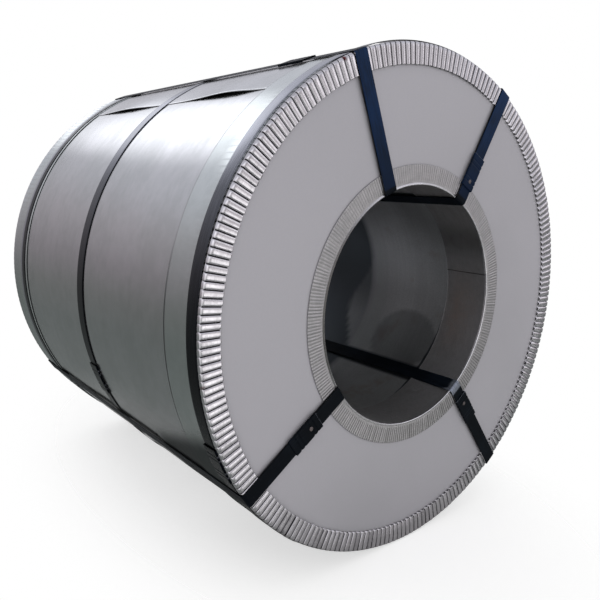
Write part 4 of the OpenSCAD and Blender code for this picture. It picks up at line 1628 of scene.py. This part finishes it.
@dataclass
class Studio:
    """Pale floor, soft light and an even white surround."""

    floor_r: float = 1.25
    floor_fade: Span = (0.30, 0.66)
    floor_tone: Colour = (0.60, 0.60, 0.60)
    floor_white: float = 0.60
    key_power: float = 66.0
    key_size: float = 1.6
    key_spot: Colour = (-0.5, -2.9, 2.9)
    diffuse_level: float = 0.70

    FLOOR_ROWS, FLOOR_COLUMNS, FLOOR_HOLE, FLOOR_SUNK = 24, 96, 0.02, 0.4 * MM
    FLOOR_OVAL = (1.0, 0.55, 0.0)
    FLOOR_ROUGHNESS, FLOOR_SPECULAR = 0.9, 0.1
    WHITE = (1.0, 1.0, 1.0, 1.0)
    GLOW = ((-0.60, (0.175, 0.19, 0.187)), (-0.30, (0.155, 0.17, 0.167)), (-0.15, (0.185, 0.19, 0.188)),
            (0.0, (0.285, 0.265, 0.285)), (0.20, (0.45, 0.43, 0.46)), (0.36, (0.60, 0.605, 0.66)),
            (0.50, (0.70, 0.71, 0.78)), (1.0, (0.50, 0.51, 0.56)))
    LOBES = (Lobe((0.05, 0.843, 0.536), 2.0, 15.0, (1.25, 1.27, 1.33)),
             Lobe((0.50, -0.845, -0.19), 7.0, 15.0, (1.05, 1.03, 1.05)),
             Lobe((0.53, -0.765, -0.365), 6.0, 15.0, (0.42, 0.41, 0.42)),
             Lobe((0.765, -0.62, 0.18), 3.0, 13.0, (0.90, 0.89, 0.90)),
             Lobe((-0.55, -0.83, 0.0), 25.0, 52.0, (0.55, 0.55, 0.56)))

    def build(self) -> None:
        """Builds the floor, the key light and the world."""
        self.floor()
        self.key()
        self.surround()

    def floor(self) -> None:
        """Builds the floor: a disc of rings whose rim fades out."""
        radius = np.linspace(self.FLOOR_HOLE, self.floor_r, self.FLOOR_ROWS)[:, None]
        angle = np.linspace(0.0, TURN, self.FLOOR_COLUMNS, endpoint=False)[None, :]
        points = np.stack(np.broadcast_arrays(radius * np.cos(angle), radius * np.sin(angle),
                                              0.0 * radius * angle - self.FLOOR_SUNK), axis=-1)
        mesh = bpy.data.meshes.new("floor")
        rows, cols = points.shape[:2]
        index = np.arange(rows * cols).reshape(rows, cols)
        index = np.hstack([index, index[:, :1]])
        quads = np.stack([index[:-1, :-1], index[1:, :-1], index[1:, 1:], index[:-1, 1:]], axis=-1)
        quads = quads.reshape(-1, 4)
        mesh.from_pydata(points.reshape(-1, 3).tolist(), [], quads.tolist())
        mesh.update()
        piece = bpy.data.objects.new("floor", mesh)
        bpy.context.scene.collection.objects.link(piece)
        graph = MaterialGraph("pale_floor")
        graph.feed(Base_Color=(*self.floor_tone, 1.0), Roughness=self.FLOOR_ROUGHNESS,
                   Specular_IOR_Level=self.FLOOR_SPECULAR)
        flat = graph.node("ShaderNodeVectorMath", {0: graph.place(), 1: self.FLOOR_OVAL},
                          operation="MULTIPLY").outputs[0]
        away = graph.node("ShaderNodeVectorMath", {0: flat}, operation="LENGTH").outputs["Value"]
        graph.feed(Alpha=graph.span(away, *self.floor_fade, 1.0, 0.0))
        seen = graph.node("ShaderNodeLightPath", {}).outputs["Is Camera Ray"]
        graph.feed(Emission_Color=self.WHITE,
                   Emission_Strength=graph.math("MULTIPLY", seen, self.floor_white))
        mesh.materials.append(graph.material)

    def key(self) -> None:
        """Builds the key light: a wide soft panel up on the left, turned to the coil."""
        lamp = bpy.data.lights.new("key", "AREA")
        lamp.shape = "DISK"
        lamp.size = self.key_size
        lamp.energy = self.key_power
        piece = bpy.data.objects.new("key", lamp)
        bpy.context.scene.collection.objects.link(piece)
        x, y, z = self.key_spot
        level = math.hypot(x, y)
        piece.location = self.key_spot
        piece.rotation_euler = (math.atan2(level, z - AXIS_H), 0.0, math.atan2(x, -y) + math.pi)

    def surround(self) -> None:
        """Builds the world: white to the camera, to the metal a glow by height with soft bright patches."""
        world = bpy.data.worlds.new("surround")
        bpy.context.scene.world = world
        world.use_nodes = True
        graph = Graph(world.node_tree)
        way = graph.node("ShaderNodeTexCoord", {}).outputs["Generated"]
        height = graph.node("ShaderNodeSeparateXYZ", {0: way}).outputs["Z"]
        share = graph.node("ShaderNodeMath", {0: height, 1: 0.5, 2: 0.5}, operation="MULTIPLY_ADD").outputs[0]
        ramp = graph.node("ShaderNodeValToRGB", {0: share})
        elements = ramp.color_ramp.elements
        while len(elements) < len(self.GLOW):
            elements.new(0.5)
        for element, (place, tone) in zip(elements, self.GLOW):
            element.position = (place + 1.0) / 2.0
            element.color = (*tone, 1.0)
        glow = ramp.outputs[0]
        for lobe in self.LOBES:
            near = graph.span(graph.facing(way, lobe.way), math.cos(math.radians(lobe.outer)),
                              math.cos(math.radians(lobe.inner)))
            glow = graph.node("ShaderNodeMix", {0: near, 6: glow, 7: (*lobe.glow, 1.0)}, data_type="RGBA",
                              blend_type="ADD").outputs[2]
        path = graph.node("ShaderNodeLightPath", {}).outputs
        seen = graph.math("MAXIMUM", path["Is Camera Ray"], path["Is Transmission Ray"])
        soft = graph.node("ShaderNodeBackground", {"Color": self.WHITE, "Strength": self.diffuse_level})
        bright = graph.node("ShaderNodeBackground", {"Color": glow})
        white = graph.node("ShaderNodeBackground", {"Color": self.WHITE})
        shiny = graph.node("ShaderNodeMixShader", {0: path["Is Glossy Ray"], 1: soft.outputs[0],
                                                   2: bright.outputs[0]})
        whole = graph.node("ShaderNodeMixShader", {0: seen, 1: shiny.outputs[0], 2: white.outputs[0]})
        graph.node("ShaderNodeOutputWorld", {0: whole.outputs[0]})


@dataclass
class PhotoCamera:
    """Camera at the photograph's viewing angle."""

    eye: Colour = (-1.0375, -1.3606, 0.809)
    azimuth: float = math.radians(36.33)
    pitch: float = math.radians(-10.06)
    lens: float = 38.48
    shift: Span = (0.0728, -0.0307)
    sensor: float = 36.0
    nearest: float = 0.01

    def build(self) -> None:
        """Makes the camera and sets it as the scene's."""
        data = bpy.data.cameras.new("camera")
        data.lens = self.lens
        data.sensor_width = self.sensor
        data.shift_x, data.shift_y = self.shift
        data.clip_start = self.nearest
        piece = bpy.data.objects.new("camera", data)
        bpy.context.scene.collection.objects.link(piece)
        piece.location = self.eye
        piece.rotation_euler = (math.pi / 2.0 + self.pitch, 0.0, -self.azimuth)
        bpy.context.scene.camera = piece


MARKS = {End.FRONT: ((-24.6, 520.5 * MM, 3.6 * MM), (-97.6, 521.5 * MM, 2.6 * MM)), End.BACK: ()}


def main() -> None:
    """Builds the camera, the pieces from the inside out, and the studio."""
    logging.basicConfig(level=logging.INFO, format="%(message)s")
    bpy.context.scene.view_settings.view_transform = "Standard"
    PhotoCamera().build()
    strapping = Strapping()
    WoundStrip(RingSpan.of("coil"), strapping.angles, abs(RingSpan.of("inner_guard_front").y_high)).build()
    WrapSheet(RingSpan.of("outer_wrap"), abs(RingSpan.of("outer_guard_front").y_high)).build()
    for end in End:
        EndDisc(end, RingSpan.of(f"end_disc_{end.word}"), strapping.angles).build()
        OuterGuard(end, RingSpan.of(f"outer_guard_{end.word}"), marks=MARKS[end]).build()
        InnerGuard(end, RingSpan.of(f"inner_guard_{end.word}")).build()
    strapping.build()
    Studio().build()


if __name__ == "__main__":
    main()
